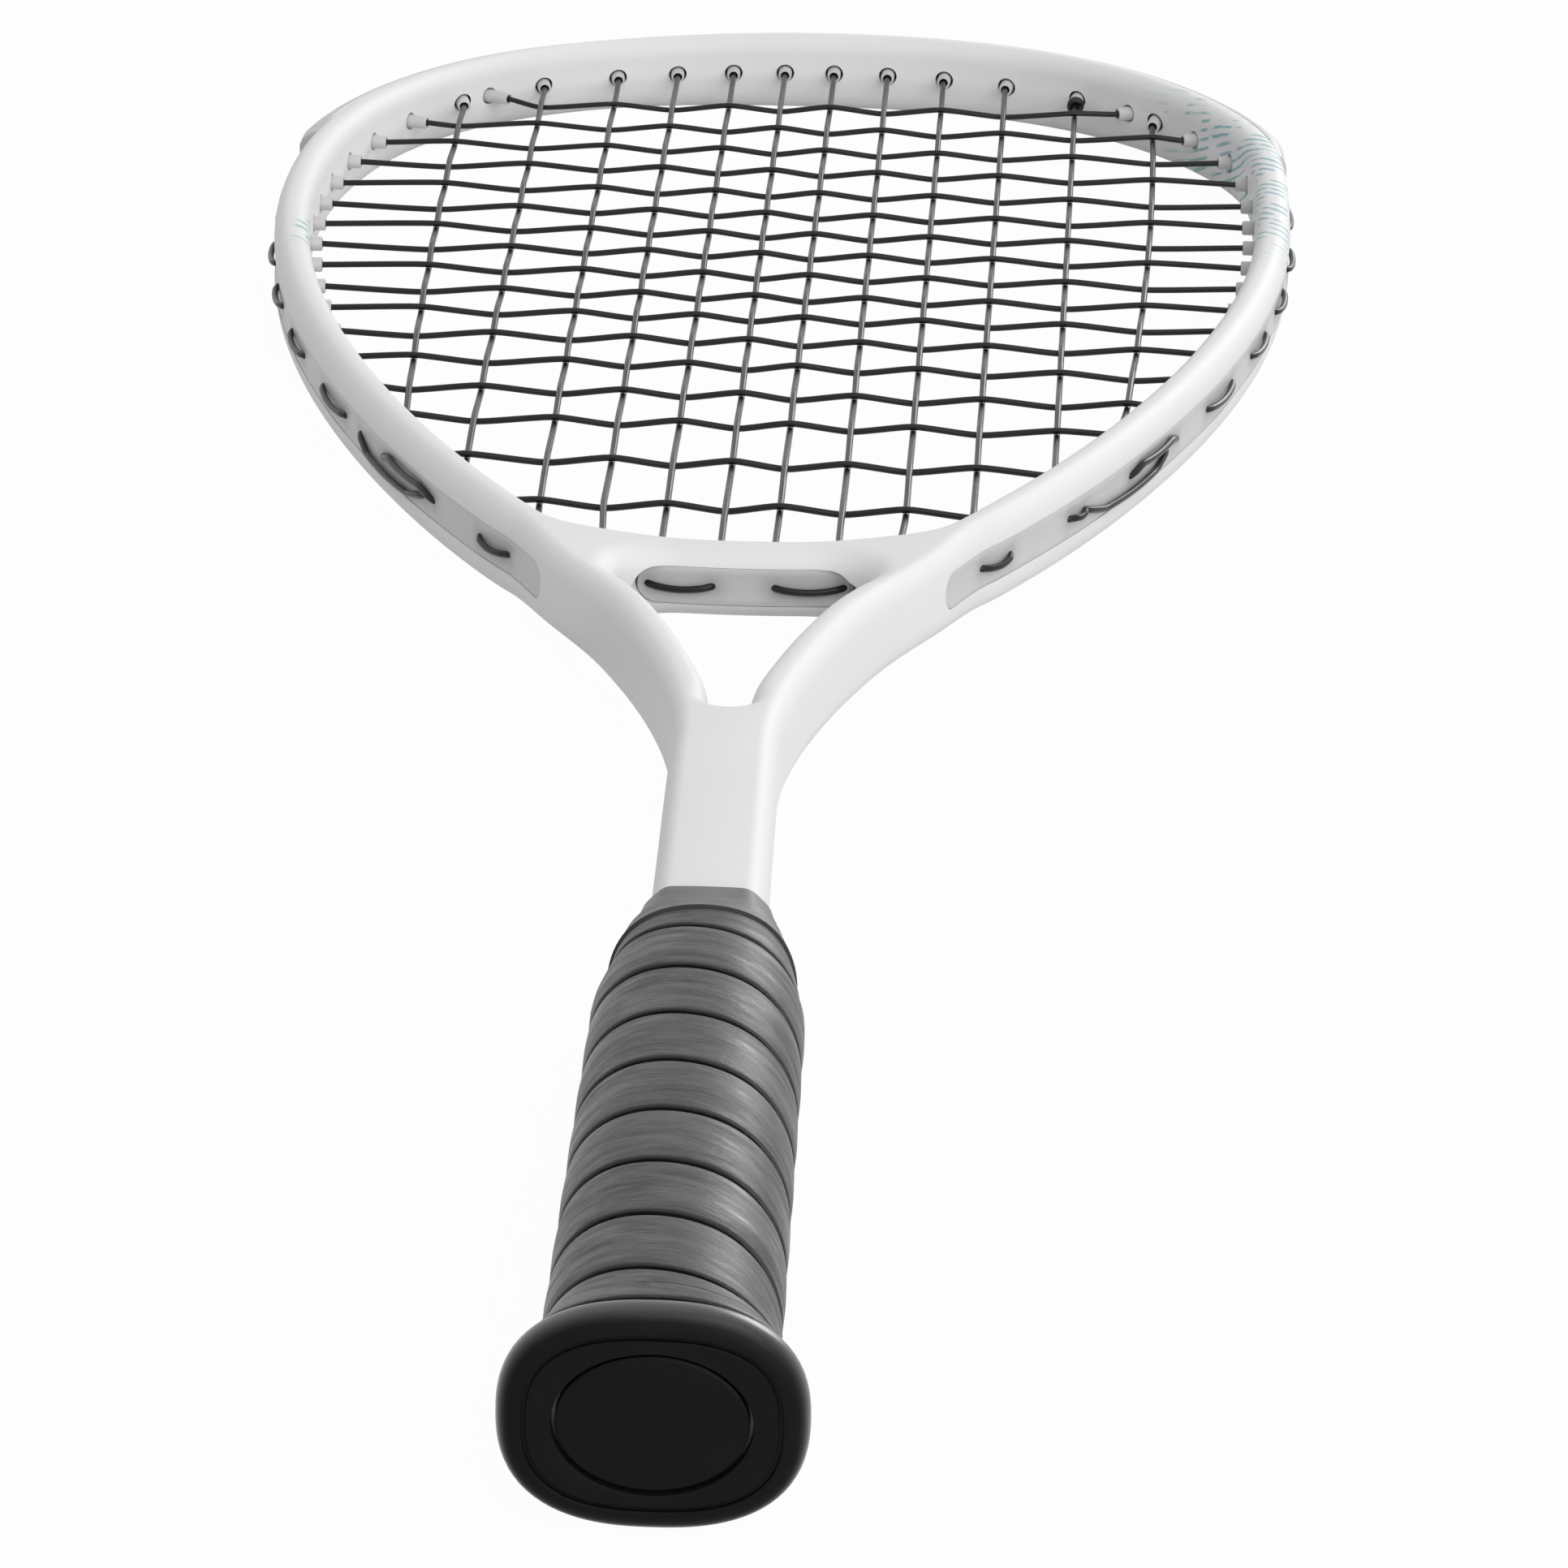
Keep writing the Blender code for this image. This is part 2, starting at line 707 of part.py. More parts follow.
def butt_cap():
    """Return the cap: flared outside, grooved end, an oval opening with a ledge, and a socket."""
    opening = oval(COVER_WIDTH, COVER_HEIGHT)
    ledge = oval(COVER_WIDTH - 2 * COVER_LEDGE, COVER_HEIGHT - 2 * COVER_LEDGE)
    socket = handle_octagon(-NECK_WALL)
    rings = []
    for step in range(FLARE_STEPS + 1):
        y = NECK_Y + (FLARE_Y - NECK_Y) * step / FLARE_STEPS
        rings.append(ring_at(seat_section(y, 0), y))
    rings.append(ring_at(oval(RIM_WIDTH, RIM_HEIGHT), RIM_Y))
    for step in range(RIM_STEPS + 1):
        turn = math.pi / 2 * step / RIM_STEPS
        inset = 2 * RIM_ROUND * (1 - math.cos(turn))
        rings.append(ring_at(oval(RIM_WIDTH - inset, RIM_HEIGHT - inset), RIM_ROUND * (1 - math.sin(turn))))
    panel_inset = 2 * (RIM_ROUND + PANEL_GROOVE)
    groove = oval(RIM_WIDTH - 2 * RIM_ROUND - PANEL_GROOVE, RIM_HEIGHT - 2 * RIM_ROUND - PANEL_GROOVE)
    panel = oval(RIM_WIDTH - panel_inset, RIM_HEIGHT - panel_inset)
    rings.append(ring_at(groove, PANEL_GROOVE))
    rings.append(ring_at(panel, 0))
    rings.append(ring_at(opening, 0))
    rings.append(ring_at(opening, COVER_RECESS + COVER_THICKNESS + FIT))
    rings.append(ring_at(ledge, COVER_RECESS + COVER_THICKNESS + FIT))
    rings.append(ring_at(ledge, CAP_FLOOR_Y))
    rings.append(ring_at(socket, CAP_FLOOR_Y))
    rings.append(ring_at(socket, NECK_Y))
    return skin(rings, joined=True)


def butt_cover():
    """Return the oval cover with the plug that holds it in the cap."""
    plate = oval(COVER_WIDTH - 2 * FIT, COVER_HEIGHT - 2 * FIT)
    inset = 2 * (COVER_LEDGE + FIT)
    plug = oval(COVER_WIDTH - inset, COVER_HEIGHT - inset)
    back = COVER_RECESS + COVER_THICKNESS
    return skin([ring_at(plate, COVER_RECESS), ring_at(plate, back), ring_at(plug, back),
                 ring_at(plug, COVER_PLUG_Y)])


def grip_wrap():
    """Return the wound strip: one unbroken winding, cut to a taper at both ends."""
    per_turn = len(handle_octagon(0))
    start = WRAP_TIP / WRAP_PITCH
    stop = (WRAP_END_Y - WRAP_TIP - WRAP_START_Y + WRAP_WIDTH) / WRAP_PITCH
    rings, edges = [], []
    for station in range(math.ceil(start * per_turn), math.floor(stop * per_turn) + 1):
        high = WRAP_START_Y + WRAP_PITCH * station / per_turn
        low = max(high - WRAP_WIDTH, WRAP_START_Y)
        high = min(high, WRAP_END_Y)
        bend = NECK_Y if low + high < NECK_Y + TAPER_START_Y else TAPER_START_Y
        bend = min(max(bend, low + WRAP_TIP / 3), high - WRAP_TIP / 3)
        side = station % per_turn
        ring = []
        for y, grow in ((low, FIT), (bend, FIT), (high, FIT), (high, FIT + WRAP_THICKNESS),
                        (bend, FIT + WRAP_THICKNESS), (low, FIT + WRAP_THICKNESS)):
            ring.append(ring_at(seat_section(y, grow), y)[side])
        rings.append(ring)
        edges.append((ring[0], ring[2]))
    least = min((edges[index + per_turn][0] - edges[index][1]).length
                for index in range(len(edges) - per_turn))
    print(f"least gap between the grip's turns: {least * 1000:.2f} mm")
    return skin(rings)


def finishing_tape():
    """Return the tape that ends the grip on the handle's taper."""
    start = WRAP_END_Y + FIT
    middle = (start + TAPE_END_Y) / 2
    rings = [ring_at(seat_section(start, FIT + 2 * TAPE_THICKNESS), start),
             ring_at(seat_section(middle, FIT + 2 * TAPE_THICKNESS), middle),
             ring_at(seat_section(middle, FIT + TAPE_THICKNESS), middle),
             ring_at(seat_section(TAPE_END_Y, FIT + TAPE_THICKNESS), TAPE_END_Y),
             ring_at(seat_section(TAPE_END_Y, FIT), TAPE_END_Y),
             ring_at(seat_section(start, FIT), start)]
    return skin(rings, joined=True)


def string_knot(bed):
    """Return the tie-off knot, a short sleeve round the last main but one, below its barrel."""
    main = MAIN_COUNT - 2
    mouth = flat(bed.main_holes[main][0].mouth)
    first = bed.main_run(main)[0]
    way = (first - mouth).normalized()
    across = way.cross(Vector((0, 0, 1))).normalized()
    third = way.cross(across)
    centre = mouth + way * (KNOT_LENGTH / 2 + STRING_DIAMETER)
    rings = []
    for shift, radius in ((-0.5, KNOT_DIAMETER / 2 - STRING_FIT), (0, KNOT_DIAMETER / 2),
                          (0.5, KNOT_DIAMETER / 2 - STRING_FIT),
                          (0.5, STRING_RADIUS + STRING_FIT), (-0.5, STRING_RADIUS + STRING_FIT)):
        ring = []
        for side in range(KNOT_SIDES):
            turn = 2 * math.pi * side / KNOT_SIDES
            arm = across * math.cos(turn) + third * math.sin(turn)
            ring.append(centre + way * shift * KNOT_LENGTH + arm * radius)
        rings.append(ring)
    return skin(rings, joined=True)


# Assembly

def add_frame(rail, bridge, bed, look, root):
    """Make the frame and its bridge, with grooves and string holes."""
    holes = [rod(hole.mouth - hole.way * BARREL_PROUD, hole.spot(-BUMPER_PROUD - STRIP_THICKNESS),
                 BARREL_DIAMETER / 2 + FIT) for hole in bed.holes()]
    hole_cutter = as_cutter(add_object("string_holes", *several(holes), look, root))
    frame = add_object("frame", *rounded_plate(frame_loops(rail, 0), BEAM_HEIGHT, BEAM_EDGE), look, root)
    groove = bar_section(GROOVE_DEPTH, -BEAM_WIDTH / 2, STRIP_HEIGHT + 2 * FIT)
    low_right, low_left = guard_ends(rail, STRIP_END_Y)
    groove_skin = guard_band(rail, low_right, low_left, groove)
    boolean(frame, "DIFFERENCE", as_cutter(add_object("guard_groove", *groove_skin, look, root)))
    seat = bar_section(GROOVE_DEPTH, -BEAM_WIDTH / 2, BUMPER_HEIGHT + 2 * FIT)
    top_right, top_left = guard_ends(rail, BUMPER_END_Y)
    seat_skin = guard_band(rail, top_right, top_left, seat)
    boolean(frame, "DIFFERENCE", as_cutter(add_object("bumper_seat", *seat_skin, look, root)))
    boolean(frame, "DIFFERENCE", hole_cutter)

    span = rounded_span(bridge)
    bar = add_object("throat_bridge", *span, look, root)
    grown = rounded_plate(frame_loops(rail, FIT), BEAM_HEIGHT + 2 * FIT, BEAM_EDGE + FIT)
    boolean(bar, "DIFFERENCE", as_cutter(add_object("frame_grown", *grown, look, root)))
    slot = bar_section(GROOVE_DEPTH, -BRIDGE_WIDTH, STRIP_HEIGHT + 2 * FIT)
    slot_start, slot_end = bridge_strip_ends(bridge, FIT)
    slot_skin = guard_band(bridge, slot_start, slot_end, slot)
    boolean(bar, "DIFFERENCE", as_cutter(add_object("bridge_groove", *slot_skin, look, root)))
    boolean(bar, "DIFFERENCE", hole_cutter)


def rounded_span(bridge):
    """Return the bridge as a rounded bar that runs into both arms."""
    rings = []
    for place in range(0, len(bridge.points), 2):
        ring = []
        for corner in range(4):
            for step in range(EDGE_STEPS + 1):
                turn = math.pi / 2 * (corner + step / EDGE_STEPS)
                deep = (BRIDGE_WIDTH / 2 - BRIDGE_EDGE) * (1 if corner in (0, 3) else -1)
                high = (BRIDGE_HEIGHT / 2 - BRIDGE_EDGE) * (1 if corner in (0, 1) else -1)
                depth = BRIDGE_WIDTH / 2 + deep + BRIDGE_EDGE * math.cos(turn)
                ring.append(flat(bridge.at(place, depth), high + BRIDGE_EDGE * math.sin(turn)))
        rings.append(ring)
    return skin(rings)


def guard_ends(rail, y):
    """Return the places on the right and left of a rail at a y."""
    right, left = rail.crossings(lambda point: point.y - y, 0)[-2:]
    return right, left


def bridge_strip_ends(bridge, grow):
    """Return the places where the bridge's strip starts and ends."""
    half = BRIDGE_STRIP_LENGTH / 2 + grow
    start = bridge.crossings(lambda point: point.x + half, 0)[0]
    end = bridge.crossings(lambda point: point.x - half, 0)[0]
    return start, end


def add_guards(rail, bridge, bed, look, root):
    """Make the bumper guard, the two side strips and the bridge's strip."""
    low_right, low_left = guard_ends(rail, STRIP_END_Y + FIT)
    top_right, top_left = guard_ends(rail, BUMPER_END_Y + FIT)
    gap = FIT / (rail.points[1] - rail.points[0]).length
    on_rail = [hole for hole in bed.holes() if hole.rail is rail]
    on_bridge = [hole for hole in bed.holes() if hole.rail is bridge]
    bumper = bumper_section(STRIP_SEAT, -BUMPER_PROUD, BUMPER_HEIGHT)
    strip = bar_section(STRIP_SEAT, STRIP_FACE, STRIP_HEIGHT)
    middle = [hole for hole in on_rail if top_right < hole.place < top_left]
    right = [hole for hole in on_rail if hole.place < top_right]
    left = [hole for hole in on_rail if hole.place > top_left]
    band = guard_band(rail, top_right, top_left, bumper, cap=BUMPER_CAP)
    add_guard("bumper_guard", band, middle, look, root)
    band = guard_band(rail, top_right - 2 * gap, low_right, strip, round_end=True)
    add_guard("grommet_strip_right", band, right, look, root)
    band = guard_band(rail, top_left + 2 * gap, low_left, strip, round_end=True)
    add_guard("grommet_strip_left", band, left, look, root)
    start, end = bridge_strip_ends(bridge, 0)
    band = guard_band(bridge, start, end, strip, round_start=True, round_end=True)
    add_guard("grommet_strip_bridge", band, on_bridge, look, root)


def add_handle(root, foam, plastic, cover_look, grip_look):
    """Make the handle halves, the butt cap and cover, and the grip."""
    reach = TAPER_END_Y + NECK_Y
    half = SHAFT_WIDTH / 2 + FIT
    hollow = [Vector((half, 0)), Vector((half, reach)), Vector((-half, reach)), Vector((-half, 0))]
    room = rounded_plate([hollow], BEAM_HEIGHT + 2 * FIT, BEAM_EDGE + FIT)
    shaft_room = as_cutter(add_object("shaft_room", *room, foam, root))
    for name, side in (("handle_pallet_upper", 1), ("handle_pallet_lower", -1)):
        boolean(add_object(name, *pallet(side), foam, root), "DIFFERENCE", shaft_room)
    add_object("butt_cap", *butt_cap(), plastic, root)
    add_object("butt_cover", *butt_cover(), cover_look, root)
    add_object("grip_wrap", *grip_wrap(), grip_look, root)
    add_object("finishing_tape", *finishing_tape(), grip_look, root)


def lay_down(root):
    """Tilt the racket until its butt cap and its tip touch the ground, and centre it."""
    drop = (RIM_HEIGHT - BEAM_HEIGHT) / 2
    reach = LENGTH - BUMPER_PROUD - BEAM_EDGE - RIM_Y
    root.rotation_euler = (-math.asin(drop / reach), 0, 0)
    bpy.context.view_layer.update()
    graph = bpy.context.evaluated_depsgraph_get()
    corners = []
    for item in bpy.context.scene.objects:
        if item.type == "MESH" and not item.hide_render:
            mesh = item.evaluated_get(graph).to_mesh()
            corners += [item.matrix_world @ corner.co for corner in mesh.vertices]
    lows = [min(corner[axis] for corner in corners) for axis in range(3)]
    highs = [max(corner[axis] for corner in corners) for axis in range(3)]
    root.location = (-(lows[0] + highs[0]) / 2, -(lows[1] + highs[1]) / 2, -lows[2])


def main():
    """Build the racket."""
    for item in list(bpy.data.objects):
        bpy.data.objects.remove(item, do_unlink=True)
    root = bpy.data.objects.new("racket", None)
    bpy.context.collection.objects.link(root)
    white = material("white_lacquer", (0.84, 0.85, 0.86), 0.25)
    frosted = material("frosted_guard", (0.72, 0.74, 0.73), 0.45)
    string = material("string", (0.035, 0.035, 0.038), 0.35)
    foam = material("handle_foam", (0.55, 0.52, 0.46), 0.8)
    plastic = material("black_plastic", (0.012, 0.012, 0.013), 0.35)
    cover_look = material("cover_plastic", (0.016, 0.016, 0.017), 0.3)
    grip_look = material("grip", (0.06, 0.06, 0.062), 0.5)

    rail = frame_rail()
    bridge = bridge_rail(rail)
    bed = Bed(rail, bridge)
    add_frame(rail, bridge, bed, white, root)
    add_guards(rail, bridge, bed, frosted, root)
    add_object("main_string", *tube(main_path(bed), STRING_RADIUS, STRING_SIDES), string, root)
    add_object("cross_string", *tube(cross_path(bed), STRING_RADIUS, STRING_SIDES), string, root)
    add_object("string_knot", *string_knot(bed), string, root)
    add_handle(root, foam, plastic, cover_look, grip_look)
    lay_down(root)


if __name__ == "__main__":
    main()
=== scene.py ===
"""Looks of the squash racket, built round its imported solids.

Every piece is drawn in the racket's own place, with the butt end at y = 0, the tip along +Y and
the strings in the plane z = 0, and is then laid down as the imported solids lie.
"""

from __future__ import annotations

import logging
import math
from dataclasses import dataclass, field
from enum import Enum
from typing import Callable, Sequence

import bpy
import numpy as np
from mathutils import Matrix, Vector

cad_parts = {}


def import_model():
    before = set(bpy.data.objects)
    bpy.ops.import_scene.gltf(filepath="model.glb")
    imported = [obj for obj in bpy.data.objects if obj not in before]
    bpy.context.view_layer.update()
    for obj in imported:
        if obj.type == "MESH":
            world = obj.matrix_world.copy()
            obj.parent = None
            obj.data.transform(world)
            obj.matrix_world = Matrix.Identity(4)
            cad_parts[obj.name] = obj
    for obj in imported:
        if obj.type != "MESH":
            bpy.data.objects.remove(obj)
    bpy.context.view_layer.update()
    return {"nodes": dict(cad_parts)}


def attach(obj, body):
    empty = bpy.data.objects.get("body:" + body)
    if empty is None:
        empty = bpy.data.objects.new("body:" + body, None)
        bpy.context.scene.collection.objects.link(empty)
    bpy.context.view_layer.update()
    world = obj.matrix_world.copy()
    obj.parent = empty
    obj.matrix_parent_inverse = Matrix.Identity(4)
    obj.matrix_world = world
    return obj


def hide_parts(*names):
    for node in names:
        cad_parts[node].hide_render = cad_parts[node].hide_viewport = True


LOG = logging.getLogger("racket")

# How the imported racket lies: tilted down to its tip and centred
TILT = math.radians(-0.5935)
LAY = Matrix.Translation((0.000013, -0.342906, 0.015553)) @ Matrix.Rotation(TILT, 4, "X")

Points = np.ndarray


class Body(Enum):
    """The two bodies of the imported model."""

    RACKET = "racket"
    COVER = "cover"


class Slot(Enum):
    """The record's material slots, one named beside each new piece."""

    LACQUER = "frame_lacquer"
    GUARD = "guard_plastic"
    STRING = "string"
    CAP = "cap_plastic"
    COVER = "cover_plastic"
    GRIP = "grip"
    TAPE = "tape"


# Shader graphs


class Value:
    """One output socket, with the sums that are written on it."""

    def __init__(self, graph: Graph, socket: bpy.types.NodeSocket) -> None:
        """Keep the socket and the graph that it belongs to."""
        self.graph = graph
        self.socket = socket

    def _math(self, operation: str, first: Term, second: Term) -> Value:
        """Add a Math node.

        Args:
            operation: Blender's name of the operation.
            first: The first value or number.
            second: The second value or number.

        Returns:
            The node's result.
        """
        return self.graph.node("ShaderNodeMath", {"operation": operation}, {0: first, 1: second})

    def __add__(self, other: Term) -> Value:
        """Return self + other."""
        return self._math("ADD", self, other)

    def __radd__(self, other: Term) -> Value:
        """Return other + self."""
        return self._math("ADD", other, self)

    def __sub__(self, other: Term) -> Value:
        """Return self - other."""
        return self._math("SUBTRACT", self, other)

    def __rsub__(self, other: Term) -> Value:
        """Return other - self."""
        return self._math("SUBTRACT", other, self)

    def __mul__(self, other: Term) -> Value:
        """Return self * other."""
        return self._math("MULTIPLY", self, other)

    def __rmul__(self, other: Term) -> Value:
        """Return other * self."""
        return self._math("MULTIPLY", other, self)

    def over(self, edge: float, width: float) -> Value:
        """Return 0 below an edge and 1 above it, with a soft step of a width."""
        return self.graph.node(
            "ShaderNodeMapRange",
            {"interpolation_type": "SMOOTHSTEP"},
            {"Value": self, "From Min": edge - width / 2, "From Max": edge + width / 2},
        )


Term = Value | float


class Graph:
    """One material's nodes, which end in a Principled shader."""

    def __init__(self, name: str) -> None:
        """Start a material with a bare Principled shader."""
        self.material = bpy.data.materials.new(name)
        self.material.use_nodes = True
        self.tree = self.material.node_tree
        self.shader = self.tree.nodes["Principled BSDF"]

    def node(
        self,
        kind: str,
        settings: dict[str, object] | None = None,
        sockets: dict[str | int, object] | None = None,
        out: str | int = 0,
    ) -> Value:
        """Add any node.

        Args:
            kind: Blender's type name.
            settings: The node's own settings, such as a Math node's operation.
            sockets: What each input holds: a Value, a number or a colour.
            out: The output to return.

        Returns:
            The node's chosen output.
        """
        made = self.tree.nodes.new(kind)
        for key, value in (settings or {}).items():
            setattr(made, key, value)
        for key, value in (sockets or {}).items():
            self.feed(made.inputs[key], value)
        return Value(self, made.outputs[out])

    def feed(self, socket: bpy.types.NodeSocket, value: object) -> None:
        """Link a Value to a socket, or set a number or colour on it."""
        if isinstance(value, Value):
            self.tree.links.new(value.socket, socket)
        else:
            socket.default_value = value

    def set(self, **inputs: object) -> None:
        """Feed the shader's inputs, named with _ for a space."""
        for key, value in inputs.items():
            self.feed(self.shader.inputs[key.replace("_", " ")], value)

    def place(self, scale: Sequence[float] = (1, 1, 1)) -> Value:
        """Return the piece's own coordinates, scaled."""
        spot = self.node("ShaderNodeTexCoord", out="Object")
        return self.node("ShaderNodeMapping", {}, {"Vector": spot, "Scale": scale})

    def axis(self, vector: Value, name: str) -> Value:
        """Return one axis of a vector, X, Y or Z."""
        return self.node("ShaderNodeSeparateXYZ", {}, {"Vector": vector}, out=name)

    def attribute(self, name: str) -> Value:
        """Return a number that is kept on the mesh."""
        return self.node("ShaderNodeAttribute", {"attribute_name": name}, out="Fac")

    def joined(self, x: Term, y: Term, z: Term = 0.0) -> Value:
        """Return three values as one vector."""
        return self.node("ShaderNodeCombineXYZ", {}, {"X": x, "Y": y, "Z": z})

    def noise(self, spot: Value, scale: float, detail: float = 2.0, rough: float = 0.5) -> Value:
        """Return a noise of mean 0.5 at a place."""
        return self.node(
            "ShaderNodeTexNoise", {}, {"Vector": spot, "Scale": scale, "Detail": detail, "Roughness": rough}
        )

    def mix(self, share: Term, first: object, second: object) -> Value:
        """Return a colour between two colours."""
        return self.node(
            "ShaderNodeMix", {"data_type": "RGBA"}, {"Factor": share, 6: first, 7: second}, out=2
        )

    def bump(self, height: Value, strength: float, depth: float) -> Value:
        """Return a normal that follows a height."""
        return self.node(
            "ShaderNodeBump", {}, {"Height": height, "Strength": strength, "Distance": depth}
        )


def grey(level: float, warm: float = 0.0) -> tuple[float, float, float, float]:
    """Return a grey colour, slightly warm or cold."""
    return (level * (1 + warm), level, level * (1 - warm), 1.0)


# Finishes


@dataclass(frozen=True)
class WhiteLacquer:
    """Satin white paint over a moulded frame, with a band of fine teal hatching."""

    white: float = 0.83
    rough: float = 0.55
    teal: tuple[float, float, float, float] = (0.185, 0.43, 0.465, 1.0)

    def make(self) -> bpy.types.Material:
        """Make the finish's nodes.

        Returns:
            The material.
        """
        graph = Graph("white_lacquer")
        spot = graph.place()
        cloud = graph.noise(spot, 38.0, 3.0)
        flow = graph.noise(spot, 900.0, 2.0)
        colour = graph.mix(cloud, grey(self.white * 0.975, -0.004), grey(self.white * 1.02, -0.002))
        colour = graph.mix(self.hatch(graph, spot), colour, self.teal)
        graph.set(
            Base_Color=colour,
            Roughness=self.rough + 0.10 * (cloud - 0.5),
            Specular_IOR_Level=0.22,
            Normal=graph.bump(flow, 0.03, 0.0004),
        )
        return graph.material

    def hatch(self, graph: Graph, spot: Value) -> Value:
        """Draw teal dashes in a long field on the hoop's right and a short one on its left.

        Args:
            graph: The material's nodes.
            spot: The piece's own coordinates.

        Returns:
            1 on a dash and 0 off it.
        """
        x = graph.axis(spot, "X")
        y = graph.axis(spot, "Y")
        z = graph.axis(spot, "Z")
        drift = graph.noise(spot, 60.0, 2.0)
        across = (y * 0.62 + x * 0.5 + z * 1.1) * 420.0 + drift * 1.2
        line = graph.node("ShaderNodeMath", {"operation": "PINGPONG"}, {0: across, 1: 0.5})
        thin = 1.0 - line.over(0.17, 0.08)
        start = y.over(0.175, 0.04)
        stop = 1.0 - y.over(0.292, 0.03)
        side = x.over(0.066, 0.006)
        broken = graph.noise(spot, 150.0, 1.0).over(0.50, 0.12)
        left = (1.0 - x.over(-0.0955, 0.002)) * x.over(-0.0992, 0.002)
        left = left * y.over(0.158, 0.01) * (1.0 - y.over(0.182, 0.01))
        return thin * broken * (start * stop * side + left) * 0.8


@dataclass(frozen=True)
class FrostedGuard:
    """Milky plastic of the string guards, with painted shade where a string or hole lies close."""

    milk: float = 0.60
    shadow: float = 0.30
    rough: float = 0.42

    def make(self) -> bpy.types.Material:
        """Make the finish's nodes.

        Returns:
            The material.
        """
        graph = Graph("frosted_guard")
        spot = graph.place()
        cloud = graph.noise(spot, 120.0, 3.0)
        grain = graph.noise(spot, 2600.0, 2.0)
        colour = graph.mix(cloud, grey(self.milk * 0.95, 0.012), grey(self.milk * 1.04, 0.006))
        # painted shade: the guard's colour darkens towards the shadow grey near string loops and hole exits
        colour = graph.mix(graph.attribute("near_string"), colour, grey(self.shadow, 0.01))
        graph.set(
            Base_Color=colour,
            Roughness=self.rough + 0.16 * (cloud - 0.5),
            Specular_IOR_Level=0.3,
            Coat_Weight=0.05,
            Coat_Roughness=0.3,
            Normal=graph.bump(grain, 0.06, 0.0002),
        )
        return graph.material


@dataclass(frozen=True)
class StringCoat:
    """Dark multifilament string under a clear coat, with faint fibres along it."""

    name: str
    dark: float
    rough: float = 0.30

    def make(self) -> bpy.types.Material:
        """Make the finish's nodes.

        Returns:
            The material.
        """
        graph = Graph(self.name)
        lay = graph.joined(graph.attribute("along") * 90.0, graph.attribute("round") * 14.0)
        fibre = graph.noise(lay, 1.0, 3.0)
        cloud = graph.noise(graph.place(), 160.0, 2.0)
        colour = graph.mix(fibre, grey(self.dark * 0.75), grey(self.dark * 1.3, 0.01))
        graph.set(
            Base_Color=colour,
            Roughness=self.rough + 0.2 * (cloud - 0.5),
            Specular_IOR_Level=0.24,
            Coat_Weight=0.06,
            Coat_Roughness=0.2,
            Normal=graph.bump(fibre, 0.12, 0.0002),
        )
        return graph.material


@dataclass(frozen=True)
class GripFilm:
    """Charcoal polyurethane of the grip: a satin film with fine streaks along the strip, and painted shade in
    the seams.
    """

    dark: float = 0.011
    light: float = 0.070
    rough: float = 0.40

    def make(self) -> bpy.types.Material:
        """Make the finish's nodes.

        Returns:
            The material.
        """
        graph = Graph("grip_film")
        along = graph.attribute("along")
        across = graph.attribute("across")
        streak = graph.noise(graph.joined(along * 100.0, across * 460.0), 1.0, 6.0, 0.70).over(0.5, 0.32)
        pores = graph.noise(graph.place(), 3200.0, 2.0)
        cloud = graph.noise(graph.joined(along * 40.0, across * 160.0), 1.0, 3.0).over(0.5, 0.45)
        # painted shade: the strip's edges and the skirt under each gap turn near black, read from the edge
        # number
        seam_shade = graph.attribute("edge")
        colour = graph.mix(streak * 0.6 + cloud * 0.4, grey(self.dark), grey(self.light, 0.01))
        colour = graph.mix(seam_shade * 0.92, colour, grey(0.004))
        height = streak * 0.7 + pores * 0.3
        graph.set(
            Base_Color=colour,
            Specular_IOR_Level=0.36,
            Roughness=self.rough - 0.16 * (streak - 0.5) - 0.10 * (cloud - 0.5),
            Normal=graph.bump(height, 0.22, 0.0005),
        )
        return graph.material


@dataclass(frozen=True)
class TapeVinyl:
    """Thin dark vinyl tape with faint lines round it."""

    dark: float = 0.060
    rough: float = 0.40

    def make(self) -> bpy.types.Material:
        """Make the finish's nodes.

        Returns:
            The material.
        """
        graph = Graph("tape_vinyl")
        lines = graph.noise(graph.place((120.0, 2600.0, 120.0)), 1.0, 3.0)
        cloud = graph.noise(graph.place(), 190.0, 3.0)
        colour = graph.mix(lines, grey(self.dark * 0.7), grey(self.dark * 1.35))
        graph.set(
            Base_Color=colour,
            Roughness=self.rough + 0.2 * (cloud - 0.5),
            Normal=graph.bump(lines, 0.18, 0.0003),
        )
        return graph.material


@dataclass(frozen=True)
class BlackPlastic:
    """Moulded black plastic with a fine spark-eroded texture, and a painted sheen in a lighter colour on the
    cap's rim.
    """

    name: str
    dark: float
    rough: float
    sheen: float = 0.5
    grain: float = 2200.0

    def make(self) -> bpy.types.Material:
        """Make the finish's nodes.

        Returns:
            The material.
        """
        graph = Graph(self.name)
        spot = graph.place()
        fine = graph.noise(spot, self.grain, 2.0)
        cloud = graph.noise(spot, 130.0, 4.0, 0.6)
        colour = graph.mix(cloud, grey(self.dark * 0.8), grey(self.dark * 1.35, 0.005))
        rim = graph.attribute("rim")
        # painted sheen: the rim's colour is lightened; its coat weight is real gloss
        colour = graph.mix(rim * 0.7, colour, grey(self.dark * 3))
        graph.set(
            Base_Color=colour,
            Specular_IOR_Level=0.06,
            Coat_Weight=self.sheen * rim,
            Coat_Roughness=0.30,
            Coat_IOR=1.7,
            Roughness=self.rough + 0.16 * (cloud - 0.5),
            Normal=graph.bump(fine, 0.10, 0.0002),
        )
        return graph.material


